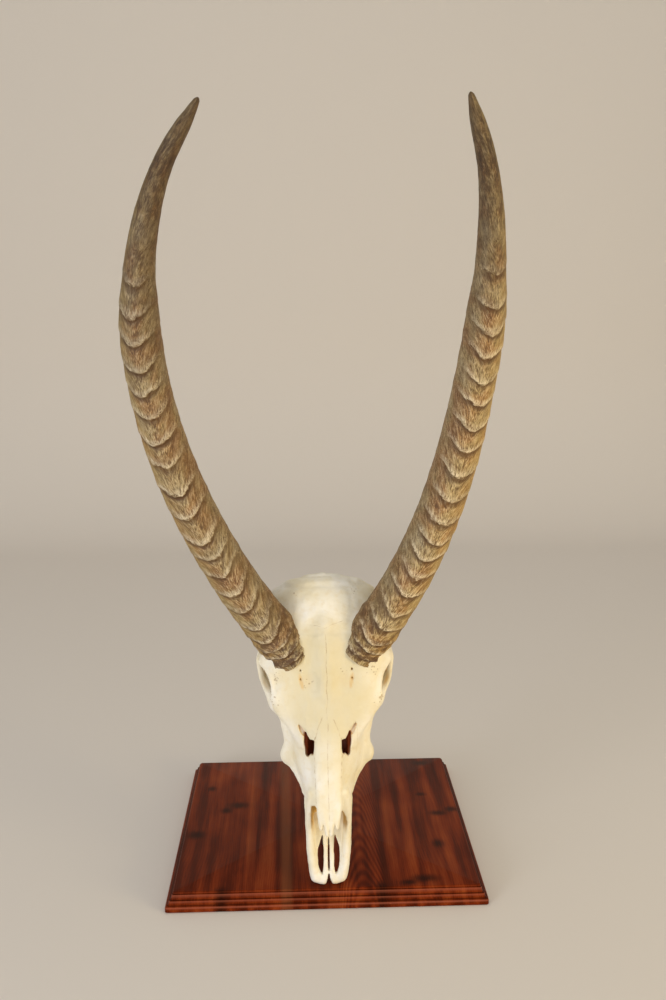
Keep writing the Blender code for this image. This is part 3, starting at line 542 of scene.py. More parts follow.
def hollow_out(field, shape, soft):
    """Takes a shape from the bone, and rounds its rim."""
    cells, away = shape
    here = field[cells]
    lap = np.maximum(soft - np.abs(here + away), 0) / soft
    field[cells] = np.maximum(here, -away) + lap * lap * soft / 4


field = np.full([len(axis) for axis in GRID], FAR)
for sections, soft in ((FACE, 6), (SPHENOID, 6), (FRONTAL, 14), (BRIDGE, 7), (OCCIPUT, 16), (MUZZLE, 3)):
    melt_in(field, loft_distance(sections), soft)
for soft, centre, radii in LUMPS.values():
    melt_in(field, lump_distance(centre, radii), soft)
for soft, points in BARS.values():
    melt_in(field, bar_distance(points), soft)
uncut = field.copy()
for sections in (AIRWAY, PALATE_VAULT, CHOANA):
    hollow_out(field, loft_distance(sections), HOLLOW_SOFT)
for soft, points in HOLLOW_BARS.values():
    hollow_out(field, bar_distance(points), soft)
for soft, centre, radii in HOLLOW_LUMPS.values():
    hollow_out(field, lump_distance(centre, radii), soft)
for soft, heights, corners in OPENINGS.values():
    hollow_out(field, prism_distance(heights, corners), soft)

# The tooth rows' flat underside, the seat on the board and the rod's hole
ALVEOLAR_Y = (106, 224)
ALVEOLAR_Z = -66
ALVEOLAR_FALL = 0.17
ALVEOLAR_SIDE_X = 60
x, y, z = np.meshgrid(*GRID, indexing="ij", sparse=True)
shelf = ALVEOLAR_Z - (y - ALVEOLAR_Y[0]) * ALVEOLAR_FALL - z
in_row = np.minimum(y - ALVEOLAR_Y[0], ALVEOLAR_Y[1] - y)
beside = ALVEOLAR_SIDE_X - x
field = np.maximum(field, np.minimum(np.minimum(shelf, in_row), beside))

# Both halves, on one grid
field = np.concatenate([field[:0:-1], field])
uncut = np.concatenate([uncut[:0:-1], uncut])
wide = np.concatenate([-GRID[0][:0:-1], GRID[0]])
GRID = (wide, GRID[1], GRID[2])
x, y, z = np.meshgrid(*GRID, indexing="ij", sparse=True)
turn = np.array(skull_turn.to_matrix())
world = [turn[k, 0] * x + turn[k, 1] * y + turn[k, 2] * z + SKULL_ORIGIN[k] for k in range(3)]
for soft, heights, corners in NASAL_GAPS.values():
    hollow_out(field, prism_distance(heights, corners), soft)
FIT_GAP = 0.3
field = np.maximum(field, BOARD_HEIGHT + FIT_GAP - world[2])
rod_side = np.hypot(world[0] - rod_x, world[1] - rod_y) - ROD_RADIUS - FIT_GAP
field = np.maximum(field, -np.maximum(rod_side, world[2] - rod_high - FIT_GAP))
volume = openvdb.FloatGrid(FAR)
volume.copyFromArray(field.astype(np.float32))
points, triangles, quads = volume.convertToPolygons(isovalue=0.0, adaptivity=0.0)
points = points * STEP + [axis[0] for axis in GRID]


def read_field(values, spots):
    """A distance field read at any spots, between the cells."""
    place = [(spots[:, k] - GRID[k][0]) / STEP for k in range(3)]
    cell = [np.clip(p.astype(int), 0, n - 2) for p, n in zip(place, values.shape)]
    part = [np.clip(p - c, 0, 1) for p, c in zip(place, cell)]
    total = 0
    for corner in np.ndindex(2, 2, 2):
        weight = np.prod([p if c else 1 - p for p, c in zip(part, corner)], axis=0)
        total = total + weight * values[tuple(c + d for c, d in zip(cell, corner))]
    return total


def soft_noise(spots, size, seed, waves=14):
    """Smooth noise: waves of about one size in random directions."""
    draw = np.random.default_rng(seed)
    total = np.zeros(len(spots))
    for _ in range(waves):
        heading = draw.normal(size=3)
        heading *= 2 * pi / (size * draw.uniform(0.7, 1.5) * np.linalg.norm(heading))
        total += np.sin(spots @ heading + draw.uniform(0, 2 * pi))
    return total / np.sqrt(waves / 2)


NUDGE = 0.8
WALL_REACH = 9
normals = np.stack([read_field(field, points + NUDGE * axis) - read_field(field, points - NUDGE * axis)
                    for axis in np.eye(3)], -1)
normals /= np.maximum(np.linalg.norm(normals, axis=1, keepdims=True), 1e-6)
# How closed in each spot is, from 0 on open bone to 1 in a hollow, and how deep below the
# skull's outer form
near_wall = 1 - np.clip(read_field(field, points + normals * WALL_REACH) / WALL_REACH, 0, 1)
depth = -read_field(uncut, points)


def ease(low, high, values):
    """Rises smoothly from 0 at low to 1 at high."""
    t = np.clip((values - low) / (high - low), 0, 1)
    return t * t * (3 - 2 * t)


# Ochre tint, heavier where the bone is closed in: in hollows, the orbits and the nose's inner walls. Deep
# in the nose behind the nasal bones, dark red-brown painted shade, which shows through the gaps beside the
# nose
aside, up, out = np.abs(points[:, 0]), points[:, 1], points[:, 2]
ochre = 0.7 * ease(0.5, 1.0, near_wall) * ease(60, 120, up)
eye = np.sqrt(((aside - 68) / 34) ** 2 + ((up - 246) / 26) ** 2 + ((out + 36) / 32) ** 2)
eye_ochre = np.where(points[:, 0] > 0, 0.95, 0.4)
ochre *= 1 - 0.5 * (eye < 1.12) * (points[:, 0] < 0)
ochre = np.maximum(ochre, eye_ochre * ease(1.12, 0.9, eye) * ease(0.6, 2.5, depth))
inward = -normals[:, 0] * np.sign(points[:, 0])
nose_wall = ease(60, 84, up) * ease(116, 108, up) * ease(28, 24, aside) * ease(10, 12, aside)
ochre = np.maximum(ochre, nose_wall * np.maximum(ease(0.8, 2.5, depth), ease(0.1, 0.6, inward)))
slit = np.hypot((aside - 30 - (up - 250) * 0.17) / 2.2, (up - 250) / 10)
ochre = np.maximum(ochre, 0.55 * ease(1.2, 0.7, slit) * (out > -10))
beside_slit = np.hypot((aside - 23) / 9, (up - 250) / 11)
ochre = np.maximum(ochre, 0.12 * ease(1.3, 0.3, beside_slit) * (out > -10))
# Painted shade: dark red-brown deep inside the nose
brown = ease(2.0, 6.0, depth) * ease(112, 140, up) * ease(245, 225, up)
brown *= ease(36, 31, aside) * ease(-67, -62, out)
# Painted shade: a darker cream over the middle of the forehead
painted_forehead_shade = ease(120, 215, up) * ease(325, 290, up) * ease(66, 30, aside) * ease(-12, 0, out)
bumps = 0.16 * soft_noise(points, 14, 1) + 0.07 * soft_noise(points, 5, 2)
# Sutures on the front of the skull: width, the axis that they run along, and the x and y
# of their corners. They fade out over the last 3 mm at each end.
SUTURES = {
    "midline": (0.45, "y", [(0.4, 84), (-0.2, 120), (-0.6, 160), (0.5, 200), (-1.1, 214), (0.8, 228),
                            (-0.5, 240), (0.9, 254), (-0.2, 268), (0.8, 284), (0.2, 306)]),
    "nasal_end_left": (0.7, "y", [(16.8, 178), (14.0, 187), (12.2, 193), (8.8, 201), (6.6, 206)]),
    "nasal_end_right": (0.7, "y", [(-16.8, 178), (-13.0, 188), (-11.8, 195), (-7.8, 203), (-6.0, 209)]),
    "nasal_edge_left": (0.8, "y", [(14.6, 112), (15.6, 124), (15.0, 138), (15.9, 152), (16.6, 164)]),
    "nasal_edge_right": (0.45, "y", [(-15.0, 104), (-15.4, 124), (-15.9, 140), (-16.2, 162)]),
    "lachrymal_left": (0.5, "y", [(33.5, 158), (35.5, 172), (36.0, 190), (33.0, 202)]),
    "brow": (0.4, "x", [(-20, 317), (-9, 315), (0, 312), (8, 316), (22, 320)]),
}
SEAM_FADE = 3.0
SEAM_DEPTH = 0.16
seam_rows = {}
for name, (width, axis, corners) in SUTURES.items():
    rows = np.array(corners, float)
    if axis == "x":
        rows = rows[:, ::-1]
    run, aside = (points[:, 1], points[:, 0]) if axis == "y" else (points[:, 0], points[:, 1])
    off = aside - np.interp(run, rows[:, 1], rows[:, 0])
    ends = np.clip(np.minimum(run - rows[0, 1], rows[-1, 1] - run) / SEAM_FADE, 0, 1)
    shown = ends * np.clip(normals[:, 2] * 4 - 1, 0, 1) * (points[:, 2] > -20)
    bumps -= SEAM_DEPTH * shown * np.exp(-(off / (width + 0.5)) ** 2)
    seam_rows["seam_" + name] = np.stack([off / width, shown, np.zeros(len(off))], -1)
# Where the bone is pitted: muscle scars by the crest, and the brow beside each orbit
pitted = np.zeros(len(points))
for centre_x, centre_y, reach in ((36, 357, 9), (-36, 357, 9), (63, 226, 13), (-63, 228, 13),
                                  (20, 262, 9), (-20, 248, 12), (56, 262, 12), (-60, 255, 10)):
    away = np.hypot(points[:, 0] - centre_x, points[:, 1] - centre_y) / reach
    pitted = np.maximum(pitted, np.clip(1.3 - away, 0, 1) * (normals[:, 2] > 0))
points = points + normals * bumps[:, None]
# The muzzle grew a little towards the animal's right
MUZZLE_BEND = 2.8
BEND_END_Y = 230
BEND_POWER = 1.5
points[:, 0] -= MUZZLE_BEND * (1 - np.clip(points[:, 1] / BEND_END_Y, 0, 1)) ** BEND_POWER

skull_mesh = bpy.data.meshes.new("skull")
faces = quads.tolist() + triangles.tolist()
skull_mesh.from_pydata((points * MM).tolist(), [], faces)
for name, values in (("painted_forehead_shade", painted_forehead_shade), ("ochre", ochre), ("brown", brown), ("pitted", pitted)):
    skull_mesh.attributes.new(name, "FLOAT", "POINT").data.foreach_set("value", values.astype(np.float32))
for name, rows in seam_rows.items():
    seam = skull_mesh.attributes.new(name, "FLOAT_VECTOR", "POINT")
    seam.data.foreach_set("vector", rows.astype(np.float32).ravel())
skull_mesh.transform(skull_pose)

# Bleached bone: dense and matte, with a faint waxy sheen on the raised parts, painted shade
# of darker cream over the forehead, ochre in hollows, dark red-brown painted shade deep in the nose, and
# hair-thin sutures.
bone, put, shader = new_finish("bleached_bone")
place = put("TexCoord").outputs["Object"]
place = put("Mapping", {0: place, "Location": SKULL_ORIGIN * MM, "Rotation": skull_turn},
            vector_type="TEXTURE")
in_mm = put("VectorMath", {0: place, "Scale": 1000.0}, "SCALE")
cloud = put("TexNoise", {"Vector": in_mm, "Scale": 0.028, "Detail": 3.0})
mottle = put("TexNoise", {"Vector": in_mm, "Scale": 0.16, "Detail": 4.0})
grit = put("TexNoise", {"Vector": in_mm, "Scale": 1.1, "Detail": 3.0})
base = set_stops(put("ValToRGB", (cloud,)), [(0.32, "#ebdfbf"), (0.5, "#f1e9d3"), (0.68, "#f6f1e4")])
layers = [(put("MapRange", (mottle, 0.52, 0.78, 0.0, 0.3)), "#e0c88e")]
for name, code, most in (("painted_forehead_shade", "#d8cba4", 0.75), ("ochre", "#dab065", 1.0), ("brown", "#a04a1a", 1.0)):
    amount = put("Attribute", attribute_name=name).outputs["Fac"]
    layers.append((put("Math", (amount, most), "MULTIPLY"), code))
# Sutures: brown where soil stays in them, broken up along their length
wiggle = put("TexNoise", {"Vector": in_mm, "Scale": 0.5, "Detail": 2.0})
wiggle = put("Math", (wiggle, 0.5), "SUBTRACT")
kept = put("TexNoise", {"Vector": in_mm, "Scale": 0.12, "Detail": 2.0})
kept = put("MapRange", (kept, 0.40, 0.64, 0.05, 0.55))
for name in seam_rows:
    seam = put("Attribute", attribute_name=name).outputs["Vector"]
    seam = put("SeparateXYZ", (seam,)).outputs
    off = put("Math", (wiggle, 3.0, seam["X"]), "MULTIPLY_ADD")
    off = put("Math", (off,), "ABSOLUTE")
    line = put("MapRange", (off, 0.4, 1.4, 1.0, 0.0))
    for amount in (seam["Y"], kept):
        line = put("Math", (line, amount), "MULTIPLY")
    layers.append((line, "#a98650"))
# Pits: blood-vessel holes about 1 mm wide, stained brown
holes = put("TexVoronoi", {"Vector": in_mm, "Scale": 0.30})
pit = put("Attribute", attribute_name="pitted").outputs["Fac"]
pit = put("Math", (mottle, pit), "MULTIPLY")
pit = put("Math", (pit, holes), "SUBTRACT")
layers.append((put("MapRange", (pit, 0.10, 0.25, 0.0, 0.45)), "#8f6a35"))
for amount, code in layers:
    base = put("Mix", {0: amount, 6: base, 7: tint(code)}, data_type="RGBA")
feed(shader, {
    "Base Color": base, "Roughness": put("MapRange", (mottle, 0.3, 0.7, 0.48, 0.62)),
    "Normal": put("Bump", {"Height": grit, "Strength": 0.25, "Distance": 0.0005}),
    "Specular IOR Level": 0.4})
piece("skull", skull_mesh, bone, "bone", "cranium", sharp=180)


# Horns: sheaths of keratin over bony cores, grown in yearly rings. A rule makes each one:
# a tube along the horn's curve, its rings steep towards the skull and sloping to the tip.
HORN_RIGHT_PATH = [(-38.5, 278, -21), (-94, 354.5, 4.5), (-134, 424.5, 31), (-165, 497, 62),
                   (-184.5, 571.5, 98.5), (-191, 644.5, 140.5), (-181, 714, 188.5),
                   (-153.5, 774.5, 241), (-109, 823, 294.5)]
HORN_LEFT_PATH = [(38.5, 280, -20), (89, 351, 4), (125.5, 420.5, 30.5), (151.5, 493.5, 61.5),
                  (168.5, 566.5, 97.5), (179, 638, 138.5), (180.5, 706.5, 186),
                  (170.5, 769, 239.5), (145, 823, 297.5)]
HORN_RIGHT_LENGTH = 680
HORN_LEFT_LENGTH = 666
HORN_HALF_WIDTH = [(0.0, 28.5), (0.05, 28.2), (0.12, 26.6), (0.24, 25.6), (0.38, 24.6),
                   (0.52, 23.0), (0.64, 21.4), (0.72, 16.6), (0.80, 13.6), (0.88, 10.2),
                   (0.94, 8.2), (0.98, 4.8), (1.0, 2.2)]
RINGS_RIGHT = [13, 26, 41, 60, 80, 105, 128, 154, 177, 200, 233, 262, 295, 322, 353, 378,
               404, 435, 462, 493]
RINGS_LEFT = [15, 29, 45, 66, 89, 116, 140, 165, 186, 211, 239, 270, 299, 326, 353, 380,
              408, 434, 459, 493]
# The tree's inputs, in metres and radians. The rings sag towards the face in front, where
# each horn is turned out a little. Painted shade darkens one horn.
HORN_SIZES = {"Widest half": 0.0285, "Depth ratio": 1.14, "Ring height": 0.0027, "Ring sag": 0.019,
              "Sag spread": radians(46), "Turn out": radians(12), "Fibre depth": 0.0005,
              "Side": 1.0, "Soil": 0.0}
# The share of a ring's spacing that its steep side takes, and how far from each end, in
# mm, the horn closes
RING_RISE = 0.16
BASE_CAP, TIP_CAP = 5.0, 3.0
STEPS_ALONG = 620
STEPS_ROUND = 130
PATH_STEPS = 12


def smooth_path(corners):
    """The curve through evenly spaced corner points, in metres."""
    rows = np.array(corners, float)
    shares = np.arange(len(rows), dtype=float)
    where = np.linspace(0, len(rows) - 1, (len(rows) - 1) * PATH_STEPS + 1)
    return np.stack([read_curve(shares, rows[:, k], where) for k in range(3)], -1) * MM


def set_curve(node, rows):
    """Gives a Float Curve node its points, from 0 to 1 both ways."""
    line = node.mapping.curves[0]
    while len(line.points) < len(rows):
        line.points.new(0.5, 0.5)
    for point, (place, value) in zip(line.points, rows):
        point.location = (place, value)
        point.handle_type = "AUTO_CLAMPED"
    node.mapping.update()
    return node


def horn_tree(name, rings, length):
    """Geometry nodes that turn a curve into a ringed horn."""
    tree = bpy.data.node_groups.new(name, "GeometryNodeTree")
    put = partial(add_node, tree)
    sockets = tree.interface
    sockets.new_socket("Path", in_out="INPUT", socket_type="NodeSocketGeometry")
    for label, start in HORN_SIZES.items():
        socket = sockets.new_socket(label, in_out="INPUT", socket_type="NodeSocketFloat")
        socket.default_value = start
    sockets.new_socket("Seed", in_out="INPUT", socket_type="NodeSocketInt").default_value = 1
    sockets.new_socket("Sheath", in_out="INPUT", socket_type="NodeSocketMaterial")
    sockets.new_socket("Horn", in_out="OUTPUT", socket_type="NodeSocketGeometry")
    given = put("NodeGroupInput").outputs

    # A flat grid: its x is the share of the way to the tip, its y a full turn round the horn
    grid = put("GeometryNodeMeshGrid", {
        "Size X": 1.0, "Size Y": 1.0, "Vertices X": STEPS_ALONG + 1, "Vertices Y": STEPS_ROUND + 1})
    spot = put("SeparateXYZ", (put("GeometryNodeInputPosition"),))
    share = put("Math", (spot.outputs["X"], 0.5), "ADD")
    turn = put("Math", (spot.outputs["Y"], 2 * pi), "MULTIPLY")
    turn_cos = put("Math", (turn,), "COSINE")
    turn_sin = put("Math", (turn,), "SINE")
    facing = put("Math", (turn_cos, 0.5, 0.5), "MULTIPLY_ADD")
    # Half width along the horn, closed to a point at both ends
    widest = HORN_HALF_WIDTH[0][1]
    width = set_curve(put("FloatCurve", {"Value": share}),
                      [(place, value / widest) for place, value in HORN_HALF_WIDTH])
    base_end = put("Math", (share, length / BASE_CAP), "MULTIPLY", use_clamp=True)
    base_end = put("Math", (base_end, 0.3), "POWER")
    tip_end = put("Math", (1.0, share), "SUBTRACT")
    tip_end = put("Math", (tip_end, length / TIP_CAP), "MULTIPLY", use_clamp=True)
    tip_end = put("Math", (tip_end,), "SQRT")
    closed = put("Math", (base_end, tip_end), "MULTIPLY")
    # Each ring's edge wanders a little, broadly and raggedly
    ring_share = share
    for stretch, scale, most in ((30.0, 1.2, 0.022), (60.0, 8.0, 0.010)):
        spot = put("Math", (share, stretch), "MULTIPLY")
        spot = put("CombineXYZ", (spot, turn_cos, turn_sin))
        wander = put("TexNoise", {"Vector": spot, "W": given["Seed"], "Scale": scale,
                                  "Detail": 2.0}, noise_dimensions="4D")
        wander = put("Math", (wander, 0.5), "SUBTRACT")
        ring_share = put("Math", (wander, most, ring_share), "MULTIPLY_ADD")
    # The number of the ring at each place, whole on a crest, and 5 more up the smooth tip
    last = len(rings) + 5
    ring_rows = [(0.0, 0.0)] + [(distance / length, (k + 1) / last) for k, distance in enumerate(rings)]
    ring_rows.append((1.0, 1.0))
    number = set_curve(put("FloatCurve", {"Value": ring_share}), ring_rows)
    number = put("Math", (number, float(last)), "MULTIPLY")
    phase = put("Math", (number,), "FRACT")
    # One ring: the long slope away from its crest, then the steep rise to the next one
    slope = put("Math", (phase, 1 - RING_RISE), "DIVIDE")
    slope = put("Math", (1.0, slope), "SUBTRACT", use_clamp=True)
    slope = put("Math", (slope, 1.25), "POWER")
    rise = put("MapRange", (phase, 1 - RING_RISE, 1.0, 0.0, 1.0), **SMOOTH)
    ring = put("Math", (slope, rise), "MAXIMUM")
    fade = put("MapRange", (share, 0.70, 0.80, 1.0, 0.0), **SMOOTH)
    strength = put("Math", (number, 0.9, given["Seed"]), "MULTIPLY_ADD")
    strength = put("TexNoise", {"W": strength, "Scale": 1.0}, noise_dimensions="1D")
    strength = put("Math", (strength, 0.9, 0.6), "MULTIPLY_ADD")
    in_front = put("Math", (facing, 4.0), "POWER")
    in_front = put("Math", (in_front, 0.85, 0.15), "MULTIPLY_ADD")
    for amount in (fade, strength, in_front):
        ring = put("Math", (ring, amount), "MULTIPLY")
    # Fibres: fine grooves that run to the skull and draw together on each crest
    drawn = put("Math", (phase, turn_sin), "MULTIPLY")
    fibre_turn = put("Math", (drawn, -0.9, turn), "MULTIPLY_ADD")
    fibre = put("CombineXYZ", (
        put("Math", (fibre_turn,), "COSINE"),
        put("Math", (fibre_turn,), "SINE"),
        put("Math", (share, 4.0), "MULTIPLY")))
    groove = put("TexNoise", {"Vector": fibre, "W": given["Seed"], "Scale": 11.0,
                              "Detail": 3.0, "Roughness": 0.65}, noise_dimensions="4D")
    groove = put("Math", (groove, 0.5), "SUBTRACT")
    round_spot = put("Math", (share, 24.0), "MULTIPLY")
    round_spot = put("CombineXYZ", (turn_cos, turn_sin, round_spot))
    lump = put("TexNoise", {"Vector": round_spot, "W": given["Seed"], "Scale": 2.2,
                            "Detail": 3.0}, noise_dimensions="4D")
    lump = put("Math", (lump, 0.5), "SUBTRACT")
    rough_base = put("MapRange", (share, 0.02, 0.16, 0.0085, 0.0018))
    fibre_depth = put("Math", (given["Fibre depth"], 2.0), "MULTIPLY")
    swell = put("Math", (ring, given["Ring height"]), "MULTIPLY")
    swell = put("Math", (groove, fibre_depth, swell), "MULTIPLY_ADD")
    swell = put("Math", (lump, rough_base, swell), "MULTIPLY_ADD")
    less_at_tip = put("Math", (width, 0.8, 0.2), "MULTIPLY_ADD")
    swell = put("Math", (swell, less_at_tip), "MULTIPLY")
    # The cross-section stands square to the curve, its front towards the face
    curve_at = put("GeometryNodeSampleCurve", {"Curves": given["Path"], "Factor": share},
                   mode="FACTOR", use_all_curves=True)
    centre, along = curve_at.outputs["Position"], curve_at.outputs["Tangent"]
    lean = put("SeparateXYZ", (along,)).outputs["Z"]
    front = put("VectorMath", {0: along, "Scale": lean}, "SCALE")
    front = put("VectorMath", ((0.0, 0.0, 1.0), front), "SUBTRACT")
    front = put("VectorMath", (front,), "NORMALIZE")
    out = put("VectorMath", (along, front), "CROSS_PRODUCT")
    out = put("VectorMath", {0: out, "Scale": given["Side"]}, "SCALE")
    half = put("Math", (width, given["Widest half"], swell), "MULTIPLY_ADD")
    half = put("Math", (half, closed), "MULTIPLY")
    angle = put("Math", (turn, given["Turn out"]), "ADD")
    to_front = put("Math", (angle,), "COSINE")
    for amount in (half, given["Depth ratio"]):
        to_front = put("Math", (to_front, amount), "MULTIPLY")
    to_side = put("Math", (angle,), "SINE")
    to_side = put("Math", (to_side, half), "MULTIPLY")
    # Each ring sags towards the face in front, as a bell curve round the horn. The rim at the
    # base is nearly square to the horn, and reaches down into the brow.
    sag = put("Math", (turn, given["Sag spread"]), "DIVIDE")
    sag = put("Math", (sag, 2.0), "POWER")
    sag = put("Math", (sag, -1.0), "MULTIPLY")
    sag = put("Math", (sag,), "EXPONENT")
    settled = put("MapRange", (share, 0.0, 0.10, 0.2, 1.0), **SMOOTH)
    for amount in (given["Ring sag"], width, settled):
        sag = put("Math", (sag, amount), "MULTIPLY")
    rooted = put("MapRange", (share, 0.0, 0.10, 0.002, 0.0))
    sag = put("Math", (sag, rooted), "ADD")
    sag = put("Math", (sag, closed), "MULTIPLY")
    move = put("VectorMath", {0: front, "Scale": to_front}, "SCALE")
    move = put("VectorMath", (out, to_side, move), "MULTIPLY_ADD")
    back = put("VectorMath", {0: along, "Scale": sag}, "SCALE")
    move = put("VectorMath", (move, back), "SUBTRACT")
    place = put("VectorMath", (centre, move), "ADD")
    # What the finish needs to know at each point, kept with the mesh
    # The crest's pale tone, part wear and part painted highlight, and the painted shadow below it, on the
    # front of the horn
    crest = put("MapRange", (phase, 0.0, 0.30, 1.0, 0.0), **SMOOTH)
    crest_rise = put("MapRange", (phase, 0.93, 1.0, 0.0, 1.0), **SMOOTH)
    crest = put("Math", (crest, crest_rise), "MAXIMUM")
    shadow = put("MapRange", (phase, 0.62, 0.84, 0.0, 1.0), **SMOOTH)
    off_crest = put("Math", (1.0, crest_rise), "SUBTRACT")
    shadow = put("Math", (shadow, off_crest), "MULTIPLY")
    shown = put("MapRange", (facing, 0.62, 0.98, 0.0, 1.0), **SMOOTH)
    for amount in (fade, strength):
        shown = put("Math", (shown, amount), "MULTIPLY")
    ring_tone = put("CombineXYZ", (
        put("Math", (crest, shown), "MULTIPLY"),
        put("Math", (shadow, shown), "MULTIPLY"), given["Soil"]))
    horn = grid.outputs["Mesh"]
    for label, value, kind in (("ring_tone", ring_tone, "FLOAT_VECTOR"), ("fibre", fibre, "FLOAT_VECTOR"),
                               ("round", round_spot, "FLOAT_VECTOR"), ("share", share, "FLOAT"),
                               ("groove", groove, "FLOAT")):
        horn = put("GeometryNodeStoreNamedAttribute", {"Geometry": horn, "Name": label, "Value": value},
                   data_type=kind, domain="POINT").outputs[0]
    horn = put("GeometryNodeSetPosition", {"Geometry": horn, "Position": place})
    horn = put("GeometryNodeMergeByDistance", {"Geometry": horn, "Distance": 0.00002})
    horn = put("GeometryNodeRealizeInstances", {"Geometry": horn})
    horn = put("GeometryNodeSetMaterial", {"Geometry": horn, "Material": given["Sheath"]})
    put("NodeGroupOutput", {"Horn": horn})
    return tree


# Horn keratin: dry, fibrous and dull, worn paler on the crests with a painted highlight there, and painted
# shadow in the grooves below them. The base is rough and flaky, and the tip is rubbed smooth and dark.
keratin, put, shader = new_finish("horn_keratin")
fibre, round_spot, ring_tone = (put("Attribute", attribute_name=name).outputs["Vector"]
                                for name in ("fibre", "round", "ring_tone"))
share, groove = (put("Attribute", attribute_name=name).outputs["Fac"] for name in ("share", "groove"))
ring_tone = put("SeparateXYZ", (ring_tone,)).outputs
crest, shadow, soil_and_painted_shade = ring_tone["X"], ring_tone["Y"], ring_tone["Z"]
hair = put("TexNoise", {"Vector": fibre, "Scale": 42.0, "Detail": 2.0, "Roughness": 0.55})
strand = put("Math", (groove, 0.7, hair), "MULTIPLY_ADD")
stain_and_painted_light = put("TexNoise", {"Vector": round_spot, "Scale": 0.9, "Detail": 4.0})
horn_colour = set_stops(put("ValToRGB", (stain_and_painted_light,)), [
    (0.28, "#835632"), (0.42, "#9a7342"), (0.54, "#a08a5c"), (0.72, "#b0a27f")])
# The outer side is painted a lighter olive gold as painted light, and the inner side a darker brown as
# painted shade
outward = put("SeparateXYZ", (round_spot,)).outputs["Y"]
# Pale crests: part wear along the fibres, part painted highlight
worn_and_highlit = put("MapRange", (strand, 0.38, 0.60, 0.05, 1.0))
worn_and_highlit = put("Math", (crest, worn_and_highlit), "MULTIPLY")
patches = put("TexNoise", {"Vector": round_spot, "Scale": 2.6, "Detail": 5.0, "Roughness": 0.7})
flaky = put("MapRange", (patches, 0.42, 0.52, 1.0, 0.0))
at_base = put("MapRange", (share, 0.03, 0.16, 0.9, 0.25))
flaky = put("Math", (flaky, at_base), "MULTIPLY")
# The horn with painted shade also turns dark sooner towards its tip
tip_start = put("Math", (0.6, soil_and_painted_shade), "SUBTRACT")
dark_tip = put("MapRange", (share, tip_start, 0.88, 0.0, 1.0))
uneven = put("MapRange", (patches, 0.35, 0.62, 1.0, 0.5))
dark_tip = put("Math", (dark_tip, uneven), "MULTIPLY")
for amount, code in ((put("MapRange", (strand, 0.36, 0.50, 0.9, 0.0)), "#5e4226"),
                     (put("MapRange", (strand, 0.50, 0.66, 0.0, 0.75)), "#d3ba90"),
                     # Painted light on the outer side, painted shade on the inner side
                     (put("MapRange", (outward, 0.1, 0.95, 0.0, 0.5)), "#b3944f"),
                     (put("MapRange", (outward, -0.2, -0.9, 0.0, 0.3)), "#5d4429"),
                     # Painted shadow below each crest, then the crests' wear and painted highlight, and the
                     # painted shade of one horn last
                     (put("Math", (shadow, 0.75), "MULTIPLY"), "#553a20"),
                     (worn_and_highlit, "#e0cfae"), (flaky, "#573a20"), (dark_tip, "#3f2d1c"), (soil_and_painted_shade, "#4a3520")):
    horn_colour = put("Mix", {0: amount, 6: horn_colour, 7: tint(code)}, data_type="RGBA")
feed(shader, {
    "Base Color": horn_colour, "Roughness": 0.6, "Specular IOR Level": 0.35,
    "Normal": put("Bump", {"Height": strand, "Strength": 0.6, "Distance": 0.0010})})

# The horn on the animal's right gets painted shade: darker all over, and dark sooner towards its tip
for name, path, length, rings, side, seed, soil_and_painted_shade in (
        ("horn_right", HORN_RIGHT_PATH, HORN_RIGHT_LENGTH, RINGS_RIGHT, -1.0, 3, 0.12),
        ("horn_left", HORN_LEFT_PATH, HORN_LEFT_LENGTH, RINGS_LEFT, 1.0, 8, 0.0)):
    line = bpy.data.curves.new(name + "_line", "CURVE")
    line.dimensions = "3D"
    points = smooth_path(path)
    spline = line.splines.new("POLY")
    spline.points.add(len(points) - 1)
    spline.points.foreach_set("co", np.c_[points, np.ones(len(points))].ravel())
    holder = bpy.data.objects.new(name + "_line", line)
    bpy.context.scene.collection.objects.link(holder)
    rule = holder.modifiers.new("Ringed horn", "NODES")
    rule.node_group = horn_tree(name + "_rule", rings, length)
    given = {item.name: item.identifier for item in rule.node_group.interface.items_tree
             if item.in_out == "INPUT"}
    for label, value in {**HORN_SIZES, "Side": side, "Soil": soil_and_painted_shade, "Seed": seed, "Sheath": keratin}.items():
        rule[given[label]] = value
    bpy.context.view_layer.update()
    shown = holder.evaluated_get(bpy.context.evaluated_depsgraph_get())
    horn_mesh = bpy.data.meshes.new_from_object(shown)
    bpy.data.objects.remove(holder)
    horn_mesh.transform(skull_pose)
    if side > 0:
        horn_mesh.flip_normals()
    piece(name + "_sheath", horn_mesh, keratin, "horn", name, sharp=180)


# Cheek teeth: crowns of enamel with soil between the cusps, two lobes on each molar and
# one on each premolar, set in a row along each side of the palate.
TEETH = [("premolar_1", 11.0, 9.0), ("premolar_2", 12.5, 11.5), ("premolar_3", 12.5, 13.5),
         ("molar_1", 17.0, 15.5), ("molar_2", 19.5, 16.5), ("molar_3", 20.0, 15.5)]
TOOTH_START_Y = 112
TOOTH_GAP = 0.5
TOOTH_HEIGHT = 9.0
TOOTH_ROW_X = (27.5, 38.0)
TOOTH_ROOT_DEPTH = 0.35
TOOTH_SIDES = 48
# How far a molar narrows between its lobes, and its crown dips between its cusps
LOBE_WAIST, CUSP_DIP = 0.22, 0.10
# The crown from the root up: share of its height, and its width
CROWN = [(0.0, 0.90), (0.04, 0.94), (0.2, 0.98), (0.35, 1.0), (0.6, 0.99), (0.85, 0.96),
         (0.93, 0.92), (1.0, 0.84), (0.97, 0.70), (0.86, 0.52), (0.80, 0.40), (0.88, 0.26),
         (0.97, 0.14), (0.95, 0.04)]

